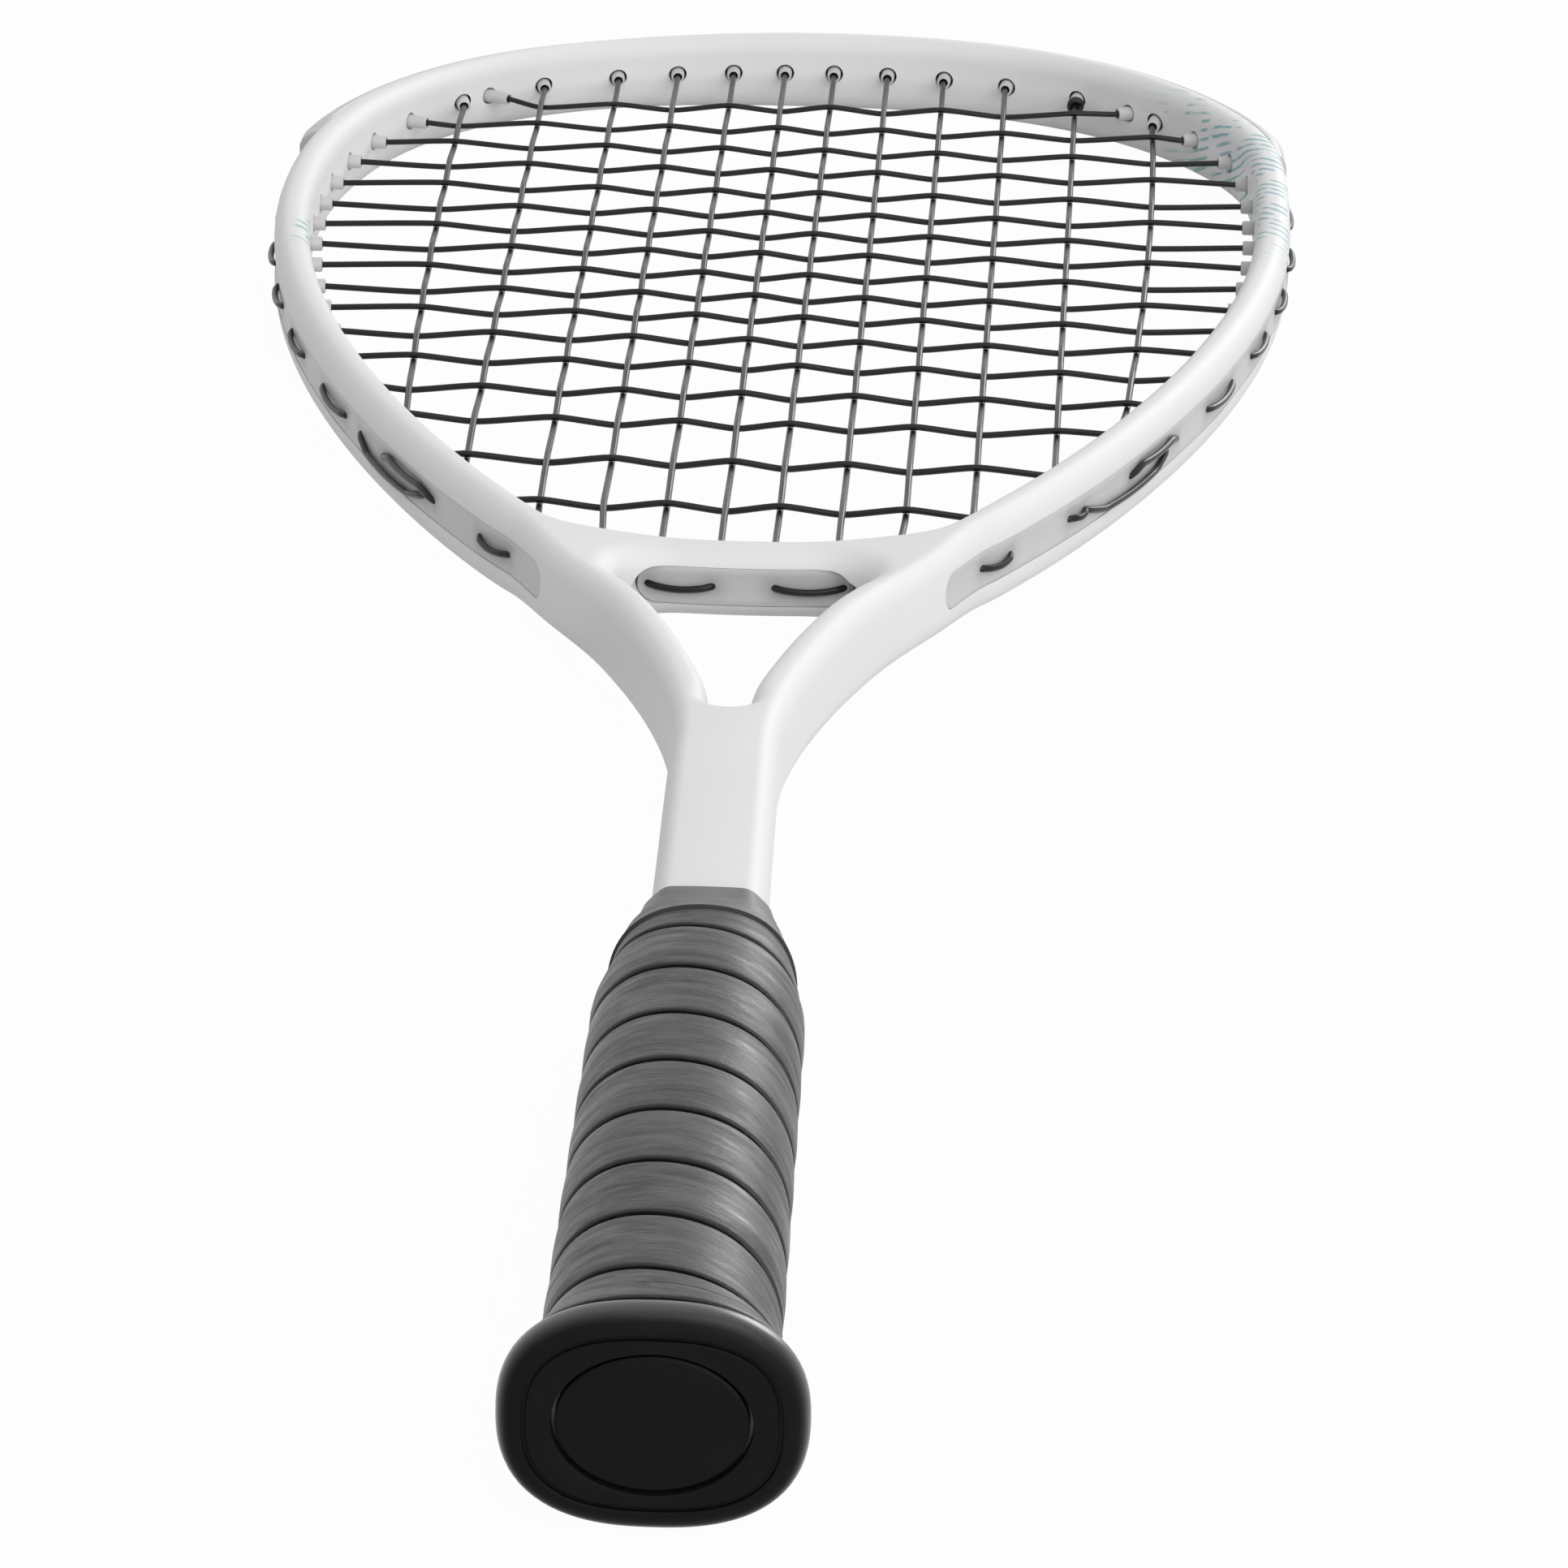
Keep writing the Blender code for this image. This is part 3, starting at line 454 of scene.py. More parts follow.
@dataclass(frozen=True)
class HandleFoam:
    """Pale rigid foam of the handle halves, with fine cells."""

    pale: float = 0.52

    def make(self) -> bpy.types.Material:
        """Make the finish's nodes.

        Returns:
            The material.
        """
        graph = Graph("handle_foam")
        spot = graph.place()
        cells = graph.node("ShaderNodeTexVoronoi", {}, {"Vector": spot, "Scale": 900.0})
        cloud = graph.noise(spot, 70.0, 3.0)
        colour = graph.mix(cloud, grey(self.pale * 0.85, 0.08), grey(self.pale * 1.1, 0.08))
        graph.set(
            Base_Color=colour,
            Roughness=0.80 + 0.12 * (cloud - 0.5),
            Normal=graph.bump(cells, 0.3, 0.0004),
        )
        return graph.material


# Modelling by hand


class Bench:
    """Blender's own modelling tools, on one piece at a time."""

    @staticmethod
    def clear() -> None:
        """Leave edit mode and deselect everything."""
        if bpy.context.object and bpy.context.object.mode != "OBJECT":
            bpy.ops.object.mode_set(mode="OBJECT")
        bpy.ops.object.select_all(action="DESELECT")

    @staticmethod
    def pick(*items: bpy.types.Object) -> None:
        """Select only these objects, with the first one active."""
        Bench.clear()
        for item in items:
            item.select_set(True)
        bpy.context.view_layer.objects.active = items[0]

    @staticmethod
    def edit(item: bpy.types.Object, select: bool = True) -> None:
        """Enter edit mode on a piece, with all of it selected or none."""
        Bench.pick(item)
        bpy.ops.object.mode_set(mode="EDIT")
        bpy.ops.mesh.select_all(action="SELECT" if select else "DESELECT")

    @staticmethod
    def done() -> None:
        """Leave edit mode."""
        bpy.ops.object.mode_set(mode="OBJECT")

    @staticmethod
    def skin(name: str, rings: Points, cap: bool = True, ring: bool = False) -> bpy.types.Object:
        """Lay a grid over closed rings of points and sew it up.

        Args:
            name: The piece's name.
            rings: Points as (ring, point in ring, axis).
            cap: Whether the open ends are filled.
            ring: Whether the last ring is sewn to the first.

        Returns:
            The piece, with its faces pointing outwards.
        """
        rings = np.asarray(rings, float)
        rings = np.concatenate([rings, rings[:, :1]], axis=1)
        if ring:
            rings = np.concatenate([rings, rings[:1]], axis=0)
        rows, columns = rings.shape[:2]
        Bench.clear()
        bpy.ops.mesh.primitive_grid_add(x_subdivisions=columns - 1, y_subdivisions=rows - 1, size=1.0)
        item = bpy.context.object
        item.name = name
        item.data.name = name
        Bench.move(item, rings)
        while item.data.uv_layers:
            item.data.uv_layers.remove(item.data.uv_layers[0])
        Bench.sew(item, cap)
        return item

    @staticmethod
    def sew(item: bpy.types.Object, cap: bool) -> None:
        """Merge the doubled points, fill open ends and turn the faces out.

        Args:
            item: The piece.
            cap: Whether the open ends are filled.
        """
        Bench.edit(item)
        bpy.ops.mesh.remove_doubles(threshold=2e-6)
        if cap:
            Bench.pick_open()
            bpy.ops.mesh.fill_holes(sides=0)
        bpy.ops.mesh.select_mode(type="VERT")
        bpy.ops.mesh.select_all(action="SELECT")
        bpy.ops.mesh.normals_make_consistent(inside=False)
        Bench.done()

    @staticmethod
    def pick_open() -> None:
        """Select only the open edges of the piece that is being edited."""
        bpy.ops.mesh.select_mode(type="EDGE")
        bpy.ops.mesh.select_all(action="DESELECT")
        bpy.ops.mesh.select_non_manifold(
            use_wire=False, use_multi_face=False, use_non_contiguous=False, use_verts=False
        )

    @staticmethod
    def move(item: bpy.types.Object, spots: Points) -> None:
        """Put the points of a piece at these places."""
        item.data.vertices.foreach_set("co", spots.astype(np.float32).ravel())
        item.data.update()

    @staticmethod
    def number(item: bpy.types.Object, name: str, values: Points) -> None:
        """Keep one number for each point of a piece."""
        kept = item.data.attributes.new(name, "FLOAT", "POINT")
        kept.data.foreach_set("value", np.asarray(values, np.float32).ravel())

    @staticmethod
    def spots(item: bpy.types.Object) -> Points:
        """Return the points of a piece."""
        flat = np.zeros(len(item.data.vertices) * 3, np.float32)
        item.data.vertices.foreach_get("co", flat)
        return flat.reshape(-1, 3).astype(float)

    @staticmethod
    def copies(name: str, model: bpy.types.Object, places: Sequence[Matrix]) -> bpy.types.Object:
        """Copy a piece to each place, join the copies and remove the model.

        Args:
            name: The joined piece's name.
            model: The piece that repeats.
            places: Where each copy goes.

        Returns:
            The joined copies.
        """
        made = []
        for place in places:
            copy = model.copy()
            copy.data = model.data.copy()
            copy.data.transform(place)
            bpy.context.collection.objects.link(copy)
            made.append(copy)
        bpy.data.objects.remove(model)
        Bench.pick(*made)
        if len(made) > 1:
            bpy.ops.object.join()
        made[0].name = name
        made[0].data.name = name
        return made[0]

    @staticmethod
    def join(first: bpy.types.Object, *others: bpy.types.Object) -> bpy.types.Object:
        """Join pieces into the first one."""
        Bench.pick(first, *others)
        bpy.ops.object.join()
        return first

    @staticmethod
    def cut(item: bpy.types.Object, cutter: bpy.types.Object) -> None:
        """Cut a piece with another and remove the cutter.

        Args:
            item: The piece.
            cutter: The shape that is cut away.
        """
        Bench.pick(item)
        step = item.modifiers.new("cut", "BOOLEAN")
        step.operation = "DIFFERENCE"
        step.solver = "EXACT"
        step.object = cutter
        bpy.ops.object.modifier_apply(modifier=step.name)
        bpy.data.objects.remove(cutter)

    @staticmethod
    def smooth(item: bpy.types.Object, angle: float = 35.0) -> None:
        """Shade a piece smooth, with its edges sharp above an angle in degrees."""
        Bench.pick(item)
        bpy.ops.object.shade_smooth_by_angle(angle=math.radians(angle))

    @staticmethod
    def tube(name: str, path: Points, radius: float, sides: int = 10) -> bpy.types.Object:
        """Make a round tube along a path, with its length and turn kept on its points.

        Args:
            name: The piece's name.
            path: Points along the middle.
            radius: The tube's radius.
            sides: Points round it.

        Returns:
            The tube, closed at both ends.
        """
        arm = np.array((0.0, 0.0, 1.0))
        turns = 2 * np.pi * np.arange(sides) / sides
        rings = []
        for spot, along in zip(path, unit(np.gradient(path, axis=0))):
            arm = arm - along * arm.dot(along)
            arm = arm / np.linalg.norm(arm)
            third = np.cross(along, arm)
            rings.append(spot + radius * (np.cos(turns)[:, None] * arm + np.sin(turns)[:, None] * third))
        item = Bench.skin(name, np.array(rings))
        spots = Bench.spots(item)
        near = nearest_index(spots, path)
        Bench.number(item, "along", run_along(path)[near])
        arms = spots - path[near]
        Bench.number(item, "round", np.arctan2(arms[:, 2], arms[:, 0]) / np.pi)
        return item

    @staticmethod
    def settle(item: bpy.types.Object) -> None:
        """Lean a finished piece as the hoop leans, and lay it down with the racket.

        Args:
            item: The piece.
        """
        spots = Bench.spots(item)
        spots[:, 2] -= sink(*spots.T)
        spots[:, 0] -= lean(spots[:, 1])
        Bench.move(item, spots)
        item.data.transform(LAY)
        item.data.update()


def unit(vectors: Points) -> Points:
    """Return vectors at a length of 1."""
    return vectors / np.linalg.norm(vectors, axis=-1)[..., None]


def run_along(points: Points) -> Points:
    """Return the length of a line of points up to each of them."""
    return np.concatenate([[0.0], np.cumsum(np.linalg.norm(np.diff(points, axis=0), axis=1))])


def nearest_index(spots: Points, path: Points) -> np.ndarray:
    """Find the nearest point of a path for each spot.

    Args:
        spots: The points to place.
        path: The points to choose from.

    Returns:
        The index for each spot.
    """
    found = np.zeros(len(spots), int)
    for start in range(0, len(spots), 2000):
        part = spots[start:start + 2000]
        gaps = ((part[:, None, :] - path[None, :, :]) ** 2).sum(axis=2)
        found[start:start + 2000] = gaps.argmin(axis=1)
    return found


def soft_step(value: Points | float, low: float, high: float) -> Points:
    """Return 0 at low and 1 at high, with a smooth rise between."""
    share = np.clip((np.asarray(value, float) - low) / (high - low), 0.0, 1.0)
    return share * share * (3 - 2 * share)


def lean(y: Points | float) -> Points:
    """Return how far the hoop stands to the left of the shaft's line at a y."""
    wide = soft_step(y, 0.24, 0.36) * (1 - 0.6 * soft_step(y, 0.56, 0.66))
    return 0.0003 * soft_step(y, 0.16, 0.22) + 0.0007 * wide


def sink(x: Points, y: Points, z: Points) -> Points:
    """Return how far the hoop's upper left lies below its plane, on a foot that stays on the ground."""
    share = np.clip((z + 0.0085) / 0.017, 0.0, 1.0)
    return 0.0013 * share * soft_step(-x, -0.01, 0.05) * soft_step(y, 0.58, 0.655)


def bezier(corners: Sequence[Sequence[float]], count: int) -> Points:
    """Draw a cubic Bezier curve.

    Args:
        corners: The curve's four points.
        count: How many points to return.

    Returns:
        The points.
    """
    share = np.linspace(0.0, 1.0, count)[:, None]
    first, second, third, last = (np.array(corner, float) for corner in corners)
    return (
        first * (1 - share) ** 3
        + 3 * second * share * (1 - share) ** 2
        + 3 * third * share**2 * (1 - share)
        + last * share**3
    )


def evenly(points: Points, spacing: float) -> Points:
    """Space points evenly along a line of points.

    Args:
        points: The line.
        spacing: About how far apart the new points are.

    Returns:
        The new points.
    """
    run = run_along(points)
    count = max(2, round(run[-1] / spacing))
    target = np.linspace(0.0, run[-1], count + 1)
    return np.stack([np.interp(target, run, points[:, axis]) for axis in range(points.shape[1])], axis=1)


def through_points(points: Points, parts: int, slack: float = 0.55) -> Points:
    """Return a line through points, with parts steps between each two.

    Args:
        points: The points.
        parts: Steps between each two points.
        slack: How far the line swings at a point, from 0 for a sharp corner to 1 for a smooth wave.

    Returns:
        The points of the line.
    """
    points = np.asarray(points, float)
    before = np.concatenate([2 * points[:1] - points[1:2], points[:-2]])
    after = np.concatenate([points[2:], 2 * points[-1:] - points[-2:-1]])
    result = [points[:1]]
    for index in range(len(points) - 1):
        start, end = points[index], points[index + 1]
        gap = np.linalg.norm(end - start)
        first = slack * (end - before[index]) * gap / (gap + np.linalg.norm(start - before[index]))
        last = slack * (after[index] - start) * gap / (gap + np.linalg.norm(after[index] - end))
        share = np.linspace(0.0, 1.0, parts + 1)[1:, None]
        two, three = share**2, share**3
        result.append(
            (2 * three - 3 * two + 1) * start
            + (three - 2 * two + share) * first
            + (3 * two - 2 * three) * end
            + (three - two) * last
        )
    return np.concatenate(result)


def flat(points: Points, z: Points | float = 0.0) -> Points:
    """Return points of the string plane as points in space."""
    points = np.asarray(points, float)
    level = np.broadcast_to(np.asarray(z, float), points.shape[:-1])
    return np.concatenate([points, level[..., None]], axis=-1)


class Rail:
    """A smooth outer edge in the string plane, with its outside on the right of its way."""

    def __init__(self, points: Points) -> None:
        """Keep the points and work out their outward normals."""
        self.points = points
        self.index = np.arange(len(points), dtype=float)
        way = unit(np.gradient(points, axis=0))
        self.outward = np.stack([way[:, 1], -way[:, 0]], axis=1)
        self.step = float(np.linalg.norm(np.diff(points, axis=0), axis=1).mean())

    def at(self, place: Points | float, depth: Points | float) -> Points:
        """Find the points at places along the rail.

        Args:
            place: Places along the rail, counted in its points.
            depth: How far inside the edge.

        Returns:
            The points.
        """
        place = np.asarray(place, float)
        columns = [np.interp(place, self.index, self.points[:, axis]) for axis in range(2)]
        normals = [np.interp(place, self.index, self.outward[:, axis]) for axis in range(2)]
        spot = np.stack(columns, axis=-1)
        normal = unit(np.stack(normals, axis=-1))
        return spot - normal * np.asarray(depth, float)[..., None]

    def crossings(self, side_of: Callable[[Points], Points], depth: float) -> list[float]:
        """Find where the rail, at a depth, crosses a line.

        Args:
            side_of: A function that is 0 on the line.
            depth: How far inside the edge.

        Returns:
            The places, in the rail's order.
        """
        value = side_of(self.at(self.index, depth))
        found = np.nonzero((value[:-1] > 0) != (value[1:] > 0))[0]
        return [float(i + value[i] / (value[i] - value[i + 1])) for i in found]

    def level(self, axis: int, value: float, depth: float = 0.0) -> list[float]:
        """Return the places where the rail, at a depth, crosses a value of x (axis 0) or y (axis 1)."""
        return self.crossings(lambda spot: spot[..., axis] - value, depth)

    def nearest(self, spot: Points) -> float:
        """Find the place on the edge that is nearest to a point.

        Args:
            spot: The point.

        Returns:
            The place.
        """
        best = int(np.linalg.norm(self.points - spot, axis=1).argmin())
        best = min(max(best, 1), len(self.points) - 2)
        way = self.points[best + 1] - self.points[best - 1]
        share = float((spot - self.points[best - 1]).dot(way) / way.dot(way))
        return best - 1 + 2 * min(max(share, 0.0), 1.0)

    def between(self, start: float, end: float, spacing: float) -> Points:
        """Return evenly spaced places from one place to another."""
        count = max(2, round(abs(end - start) * self.step / spacing))
        return np.linspace(start, end, count + 1)


# Frame


@dataclass
class Frame:
    """The hoop, its two arms and the shaft, with the bridge across the throat, as one body."""

    length: float = 0.6842
    width: float = 0.2106
    widest: float = 0.553
    squareness: float = 2.47
    beam: float = 0.0072
    height: float = 0.0170
    edge: tuple[float, float] = (0.0032, 0.0044)
    arm: tuple[float, float] = (0.0426, 0.334)
    arm_angle: float = math.radians(37.0)
    arm_pull: tuple[float, float] = (0.0125, 0.0200)
    elbow: tuple[float, float, float] = (0.0018, 0.316, 0.0165)
    corner: tuple[float, float, float, float] = (0.0016, 0.0008, 0.603, 0.034)
    hoop_pull: float = 0.1045
    shaft: float = 0.0172
    shaft_end: float = 0.010
    shoulder: float = 0.2243
    shoulder_pull: float = 0.0425
    crotch: float = 0.2385
    crotch_radius: float = 0.0033
    crotch_rise: float = 0.020
    crotch_pull: float = 0.008
    bridge: float = 0.318
    bridge_width: float = 0.0090
    bridge_height: float = 0.0130
    bridge_rise: float = 4.0
    bridge_span: tuple[float, float] = (0.008, 0.046)
    bridge_ends: tuple[float, float, float, float] = (0.285, 0.320, 0.345, 0.38)
    sill_half: float = 0.032
    sill_soft: float = 0.65
    hoop_fillet: float = 0.012
    throat_fillet: float = 0.0095
    groove: float = 0.0017
    groove_y: float = 0.3171
    groove_height: float = 0.0069
    seat_y: float = 0.5897
    seat_height: float = 0.0089
    slot_half: float = 0.0187
    hole: float = 0.0041
    drill: tuple[float, float] = (0.024, 0.0065)
    spacing: float = 0.0020
    edge_steps: int = 8
    even: Rail = field(init=False)
    rail: Rail = field(init=False)
    sill: Rail = field(init=False)

    def __post_init__(self) -> None:
        """Draw the outer edge and the edge of the bridge that faces the shaft."""
        way = np.array((math.sin(self.arm_angle), math.cos(self.arm_angle)))
        arm = np.array(self.arm)
        start = np.array((self.shaft / 2, self.shoulder))
        wide = np.array((self.width / 2, self.widest))
        low = bezier((start, start + (0, self.shoulder_pull), arm - way * self.arm_pull[0], arm), 60)
        high = bezier((arm, arm + way * self.arm_pull[1], wide - (0, self.hoop_pull), wide), 120)
        turn = np.linspace(0, math.pi / 2, 161)[1:]
        power = 2 / self.squareness
        top = np.stack([
            wide[0] * np.maximum(np.cos(turn), 0) ** power,
            self.widest + (self.length - self.widest) * np.sin(turn) ** power,
        ], axis=1)
        half = np.concatenate([low, high[1:], top])
        swell, middle, spread = self.elbow
        half[:, 0] += swell * np.exp(-(((half[:, 1] - middle) / spread) ** 2))
        half = evenly(half, self.spacing)
        whole = np.concatenate([half, half[-2::-1] * (-1, 1)])
        self.even = Rail(whole)
        self.rail = Rail(self.skew(whole))
        x = np.linspace(-self.sill_half, self.sill_half, 65)
        self.sill = Rail(np.stack([x, self.sill_y(x)], axis=1))

    def skew(self, spots: Points) -> Points:
        """Move points of the even outline so that the hoop's upper corners stand to the right.

        Args:
            spots: The points.

        Returns:
            The moved points.
        """
        drift, swell, middle, spread = self.corner
        reach = np.exp(-(((spots[:, 1] - middle) / spread) ** 2))
        return spots + np.stack([(drift + swell * np.sign(spots[:, 0])) * reach, 0 * reach], axis=1)

    def sill_y(self, x: Points | float) -> Points:
        """Return the y of the bridge's edge that faces the shaft."""
        return self.bridge + self.bridge_rise * np.asarray(x, float) ** 2

    def fillet(self, radius: float, above: bool) -> tuple[Points, float]:
        """Return the points that round the corner between the bridge and the right arm.

        Args:
            radius: The corner's radius.
            above: Whether the corner is on the string side of the bridge.

        Returns:
            The arc from the bridge to the arm, and the place on the rail where it ends.
        """
        side = 1 if above else -1
        lift = self.bridge_width if above else 0.0

        def off(spot: Points) -> Points:
            """Return how far points lie from where the corner's centre can be."""
            slope = 2 * self.bridge_rise * spot[..., 0]
            return side * (spot[..., 1] - self.sill_y(spot[..., 0]) - lift) / np.sqrt(1 + slope**2) - radius

        place = self.rail.crossings(off, self.beam + radius)[0]
        centre = self.rail.at(place, self.beam + radius)
        slope = 2 * self.bridge_rise * centre[0]
        foot = -side * np.array((-slope, 1.0)) / math.hypot(slope, 1.0)
        touch = (self.rail.at(place, self.beam) - centre) / radius
        start, stop = math.atan2(foot[1], foot[0]), math.atan2(touch[1], touch[0])
        sweep = (stop - start + math.pi) % (2 * math.pi) - math.pi
        turn = start + sweep * np.linspace(0, 1, 13)
        return centre + radius * np.stack([np.cos(turn), np.sin(turn)], axis=1), place

    def loops(self) -> list[Points]:
        """Draw the frame's edges in the string plane.

        Returns:
            The outer edge, the hoop's opening and the throat's opening, each as a loop of points.
        """
        tip = (len(self.even.points) - 1) / 2
        shaft = np.linspace(self.shaft_end, self.shoulder, 41)[:-1]
        low = np.stack([np.full(len(shaft), self.shaft / 2), shaft], axis=1)
        outer = np.concatenate([low, self.even.points[:int(tip) + 1]])
        arc, place = self.fillet(self.hoop_fillet, True)
        x = np.linspace(0, arc[0, 0], 14)[:-1]
        sill = np.stack([x, self.sill_y(x) + self.bridge_width], axis=1)
        side = self.even.at(np.linspace(place, tip, 260)[1:], self.beam)
        hoop = np.concatenate([sill, arc, side])
        arc, place = self.fillet(self.throat_fillet, False)
        turn = np.linspace(0, math.pi / 2, 9)
        centre = self.crotch + self.crotch_radius
        bend = np.stack([np.sin(turn), -np.cos(turn)], axis=1) * self.crotch_radius + (0, centre)
        join = self.rail.crossings(lambda spot: spot[..., 1] - centre - self.crotch_rise, self.beam)[0]
        spot = self.rail.at(join, self.beam)
        way = self.rail.at(join + 1, self.beam) - spot
        way /= np.linalg.norm(way)
        pull = self.crotch_pull
        rise = bezier((bend[-1], bend[-1] + (0, pull), spot - way * pull, spot), 12)[1:]
        side = self.rail.at(np.linspace(join, place, 30)[1:-1], self.beam)
        x = np.linspace(arc[0, 0], 0, 14)[1:]
        lower = np.stack([x, self.sill_y(x)], axis=1)
        throat = np.concatenate([bend, rise, side, arc[::-1], lower])
        loops = []
        for half, spacing in ((outer, self.spacing), (hoop, self.spacing), (throat, self.spacing / 2)):
            half = evenly(half, spacing)
            mirror = half[::-1] * (-1, 1)
            loops.append(self.skew(np.concatenate([half, mirror[1:] if not loops else mirror[1:-1]])))
        return loops

    def depth(self, spots: Points) -> Points:
        """Work out the frame's full height, which is less along the bridge.

        Args:
            spots: The points.

        Returns:
            The height at each point.
        """
        x, y = np.abs(spots[..., 0]), spots[..., 1]
        start, full, fading, end = self.bridge_ends
        on_bridge = (1 - soft_step(x, *self.bridge_span)) * soft_step(y, start, full)
        on_bridge = on_bridge * (1 - soft_step(y, fading, end))
        return self.height + (self.bridge_height - self.height) * on_bridge

    def roundness(self, loop: Points) -> Points:
        """Return how much further the edge is rounded along the throat's loop, most on the bridge."""
        middle = 1 - soft_step(np.abs(loop[:, :1]), 0.016, 0.034)
        return 1 + self.sill_soft * middle * soft_step(loop[:, 1:], 0.298, 0.312)

    def build(self, batches: Sequence[Sequence[Hole]]) -> bpy.types.Object:
        """Model the frame.

        Args:
            batches: The string holes through it, in batches that don't meet.

        Returns:
            The frame, with its grooves and holes cut.
        """
        turn = np.linspace(0, math.pi / 2, self.edge_steps + 1)
        inset = self.edge[0] * (1 - np.cos(turn))
        drop = self.edge[1] * (1 - np.sin(turn))
        walls = []
        for number, loop in enumerate(self.loops()):
            way = unit(np.roll(loop, -1, axis=0) - np.roll(loop, 1, axis=0))
            inward = np.stack([-way[:, 1], way[:, 0]], axis=1) * (1 if number == 0 else -1)
            soft = self.roundness(loop) if number == 2 else 1.0
            rings = []
            for side, steps in ((-1, range(self.edge_steps, -1, -1)), (1, range(self.edge_steps + 1))):
                for step in steps:
                    spots = loop + inward * inset[step] * soft
                    rings.append(flat(spots, side * (self.depth(spots) / 2 - drop[step])))
            walls.append(Bench.skin(f"wall_{number}", np.array(rings), cap=False))
        item = Bench.join(*walls)
        item.name = "frame_body"
        self.fill(item)
        Bench.cut(item, self.channel(self.groove_y, self.groove_height))
        Bench.cut(item, self.channel(self.seat_y, self.seat_height))
        Bench.cut(item, self.slot())
        for holes in batches:
            Bench.clear()
            length, middle = self.drill
            bpy.ops.mesh.primitive_cylinder_add(
                vertices=24, radius=self.hole / 2, depth=length, location=(0, 0, middle)
            )
            drill = bpy.context.object
            bpy.ops.object.transform_apply(location=True)
            Bench.cut(item, Bench.copies("drills", drill, [hole.frame() for hole in holes]))
        Bench.smooth(item, 32.0)
        return item

    def soften(self, item: bpy.types.Object, side: int) -> None:
        """Divide the filled side near the bridge and bring it to the frame's height there.

        Args:
            item: The frame, with the new faces selected.
            side: 1 for the upper side and -1 for the lower.
        """
        bpy.context.tool_settings.mesh_select_mode = (False, False, True)
        for _ in range(2):
            item.data.vertices.foreach_set("select", np.zeros(len(item.data.vertices), bool))
            item.data.edges.foreach_set("select", np.zeros(len(item.data.edges), bool))
            for face in item.data.polygons:
                x, y, _ = face.center
                face.select = face.select and 0.28 < y < 0.40 and abs(x) < 0.07
            bpy.ops.object.mode_set(mode="EDIT")
            bpy.ops.mesh.subdivide(number_cuts=1)
            Bench.done()
        spots = Bench.spots(item)
        inside = {vertex for face in item.data.polygons if face.select for vertex in face.vertices}
        chosen = np.array(sorted(inside), int)
        spots[chosen, 2] = side * self.depth(spots[chosen]) / 2
        Bench.move(item, spots)

    def fill(self, item: bpy.types.Object) -> None:
        """Fill the upper and lower sides between the edges.

        Args:
            item: The frame's walls.
        """
        for side in (1, -1):
            Bench.edit(item, select=False)
            Bench.pick_open()
            Bench.done()
            height = Bench.spots(item)[:, 2]
            for rim in item.data.edges:
                if rim.select and side * height[rim.vertices[0]] < 0:
                    rim.select = False
            bpy.ops.object.mode_set(mode="EDIT")
            bpy.ops.mesh.fill(use_beauty=True)
            Bench.done()
            self.soften(item, side)
        Bench.edit(item)
        bpy.ops.mesh.select_mode(type="VERT")
        bpy.ops.mesh.normals_make_consistent(inside=False)
        Bench.done()

    @staticmethod
    def band(
        name: str,
        rail: Rail,
        ends: tuple[float, float],
        section: Sequence[Sequence[float]],
        rounded: tuple[bool, bool],
        spacing: float = 0.0022,
    ) -> bpy.types.Object:
        """Make a band along a rail.

        Args:
            name: The band's name.
            rail: The edge that it follows.
            ends: The places on the rail where it starts and stops.
            section: Its section as (depth, z) points.
            rounded: Whether each end is round.
            spacing: The step along it.

        Returns:
            The band, closed at both ends.
        """
        half = max(abs(z) for _, z in section)
        places = rail.between(ends[0], ends[1], spacing)
        run = np.abs(places - ends[0]) * rail.step
        extra = half * (1 - np.cos(np.linspace(0.12, math.pi / 2, 9))) / rail.step
        way = 1 if ends[1] > ends[0] else -1
        if rounded[0]:
            places = np.concatenate([ends[0] + way * extra, places[run > half + spacing / 2]])
        left = np.abs(ends[1] - places) * rail.step
        if rounded[1]:
            places = np.concatenate([places[left > half + spacing / 2], ends[1] - way * extra[::-1]])
        share = np.ones(len(places))
        for flag, end in zip(rounded, ends):
            if flag:
                gap = np.clip(np.abs(places - end) * rail.step / half, 0, 1)
                share = np.minimum(share, np.sqrt(np.maximum(1 - (1 - gap) ** 2, 0.0)))
        rings = [flat(rail.at(places, depth), z * share) for depth, z in section]
        return Bench.skin(name, np.array(rings).transpose(1, 0, 2))

    def cutter(self, height: float, out: float) -> Sequence[Sequence[float]]:
        """Return the section of a groove's cutter, which stands out of the edge, as (depth, z) points."""
        half = height / 2
        return ((self.groove, -half), (-out, -half), (-out, half), (self.groove, half))

    def channel(self, y: float, height: float) -> bpy.types.Object:
        """Make a cutter for the groove that runs round the hoop.

        Args:
            y: Where the groove's ends lie.
            height: The groove's height.

        Returns:
            The cutter.
        """
        places = self.rail.level(1, y)
        section = self.cutter(height, 0.004)
        return self.band("groove", self.rail, (places[0], places[-1]), section, (True, True))

    def slot(self) -> bpy.types.Object:
        """Return a cutter for the bridge's groove."""
        left, right = (self.sill.level(0, x)[0] for x in (-self.slot_half, self.slot_half))
        section = self.cutter(self.groove_height, 0.006)
        return self.band("bridge_groove", self.sill, (left, right), section, (True, True), 0.001)


# Strings


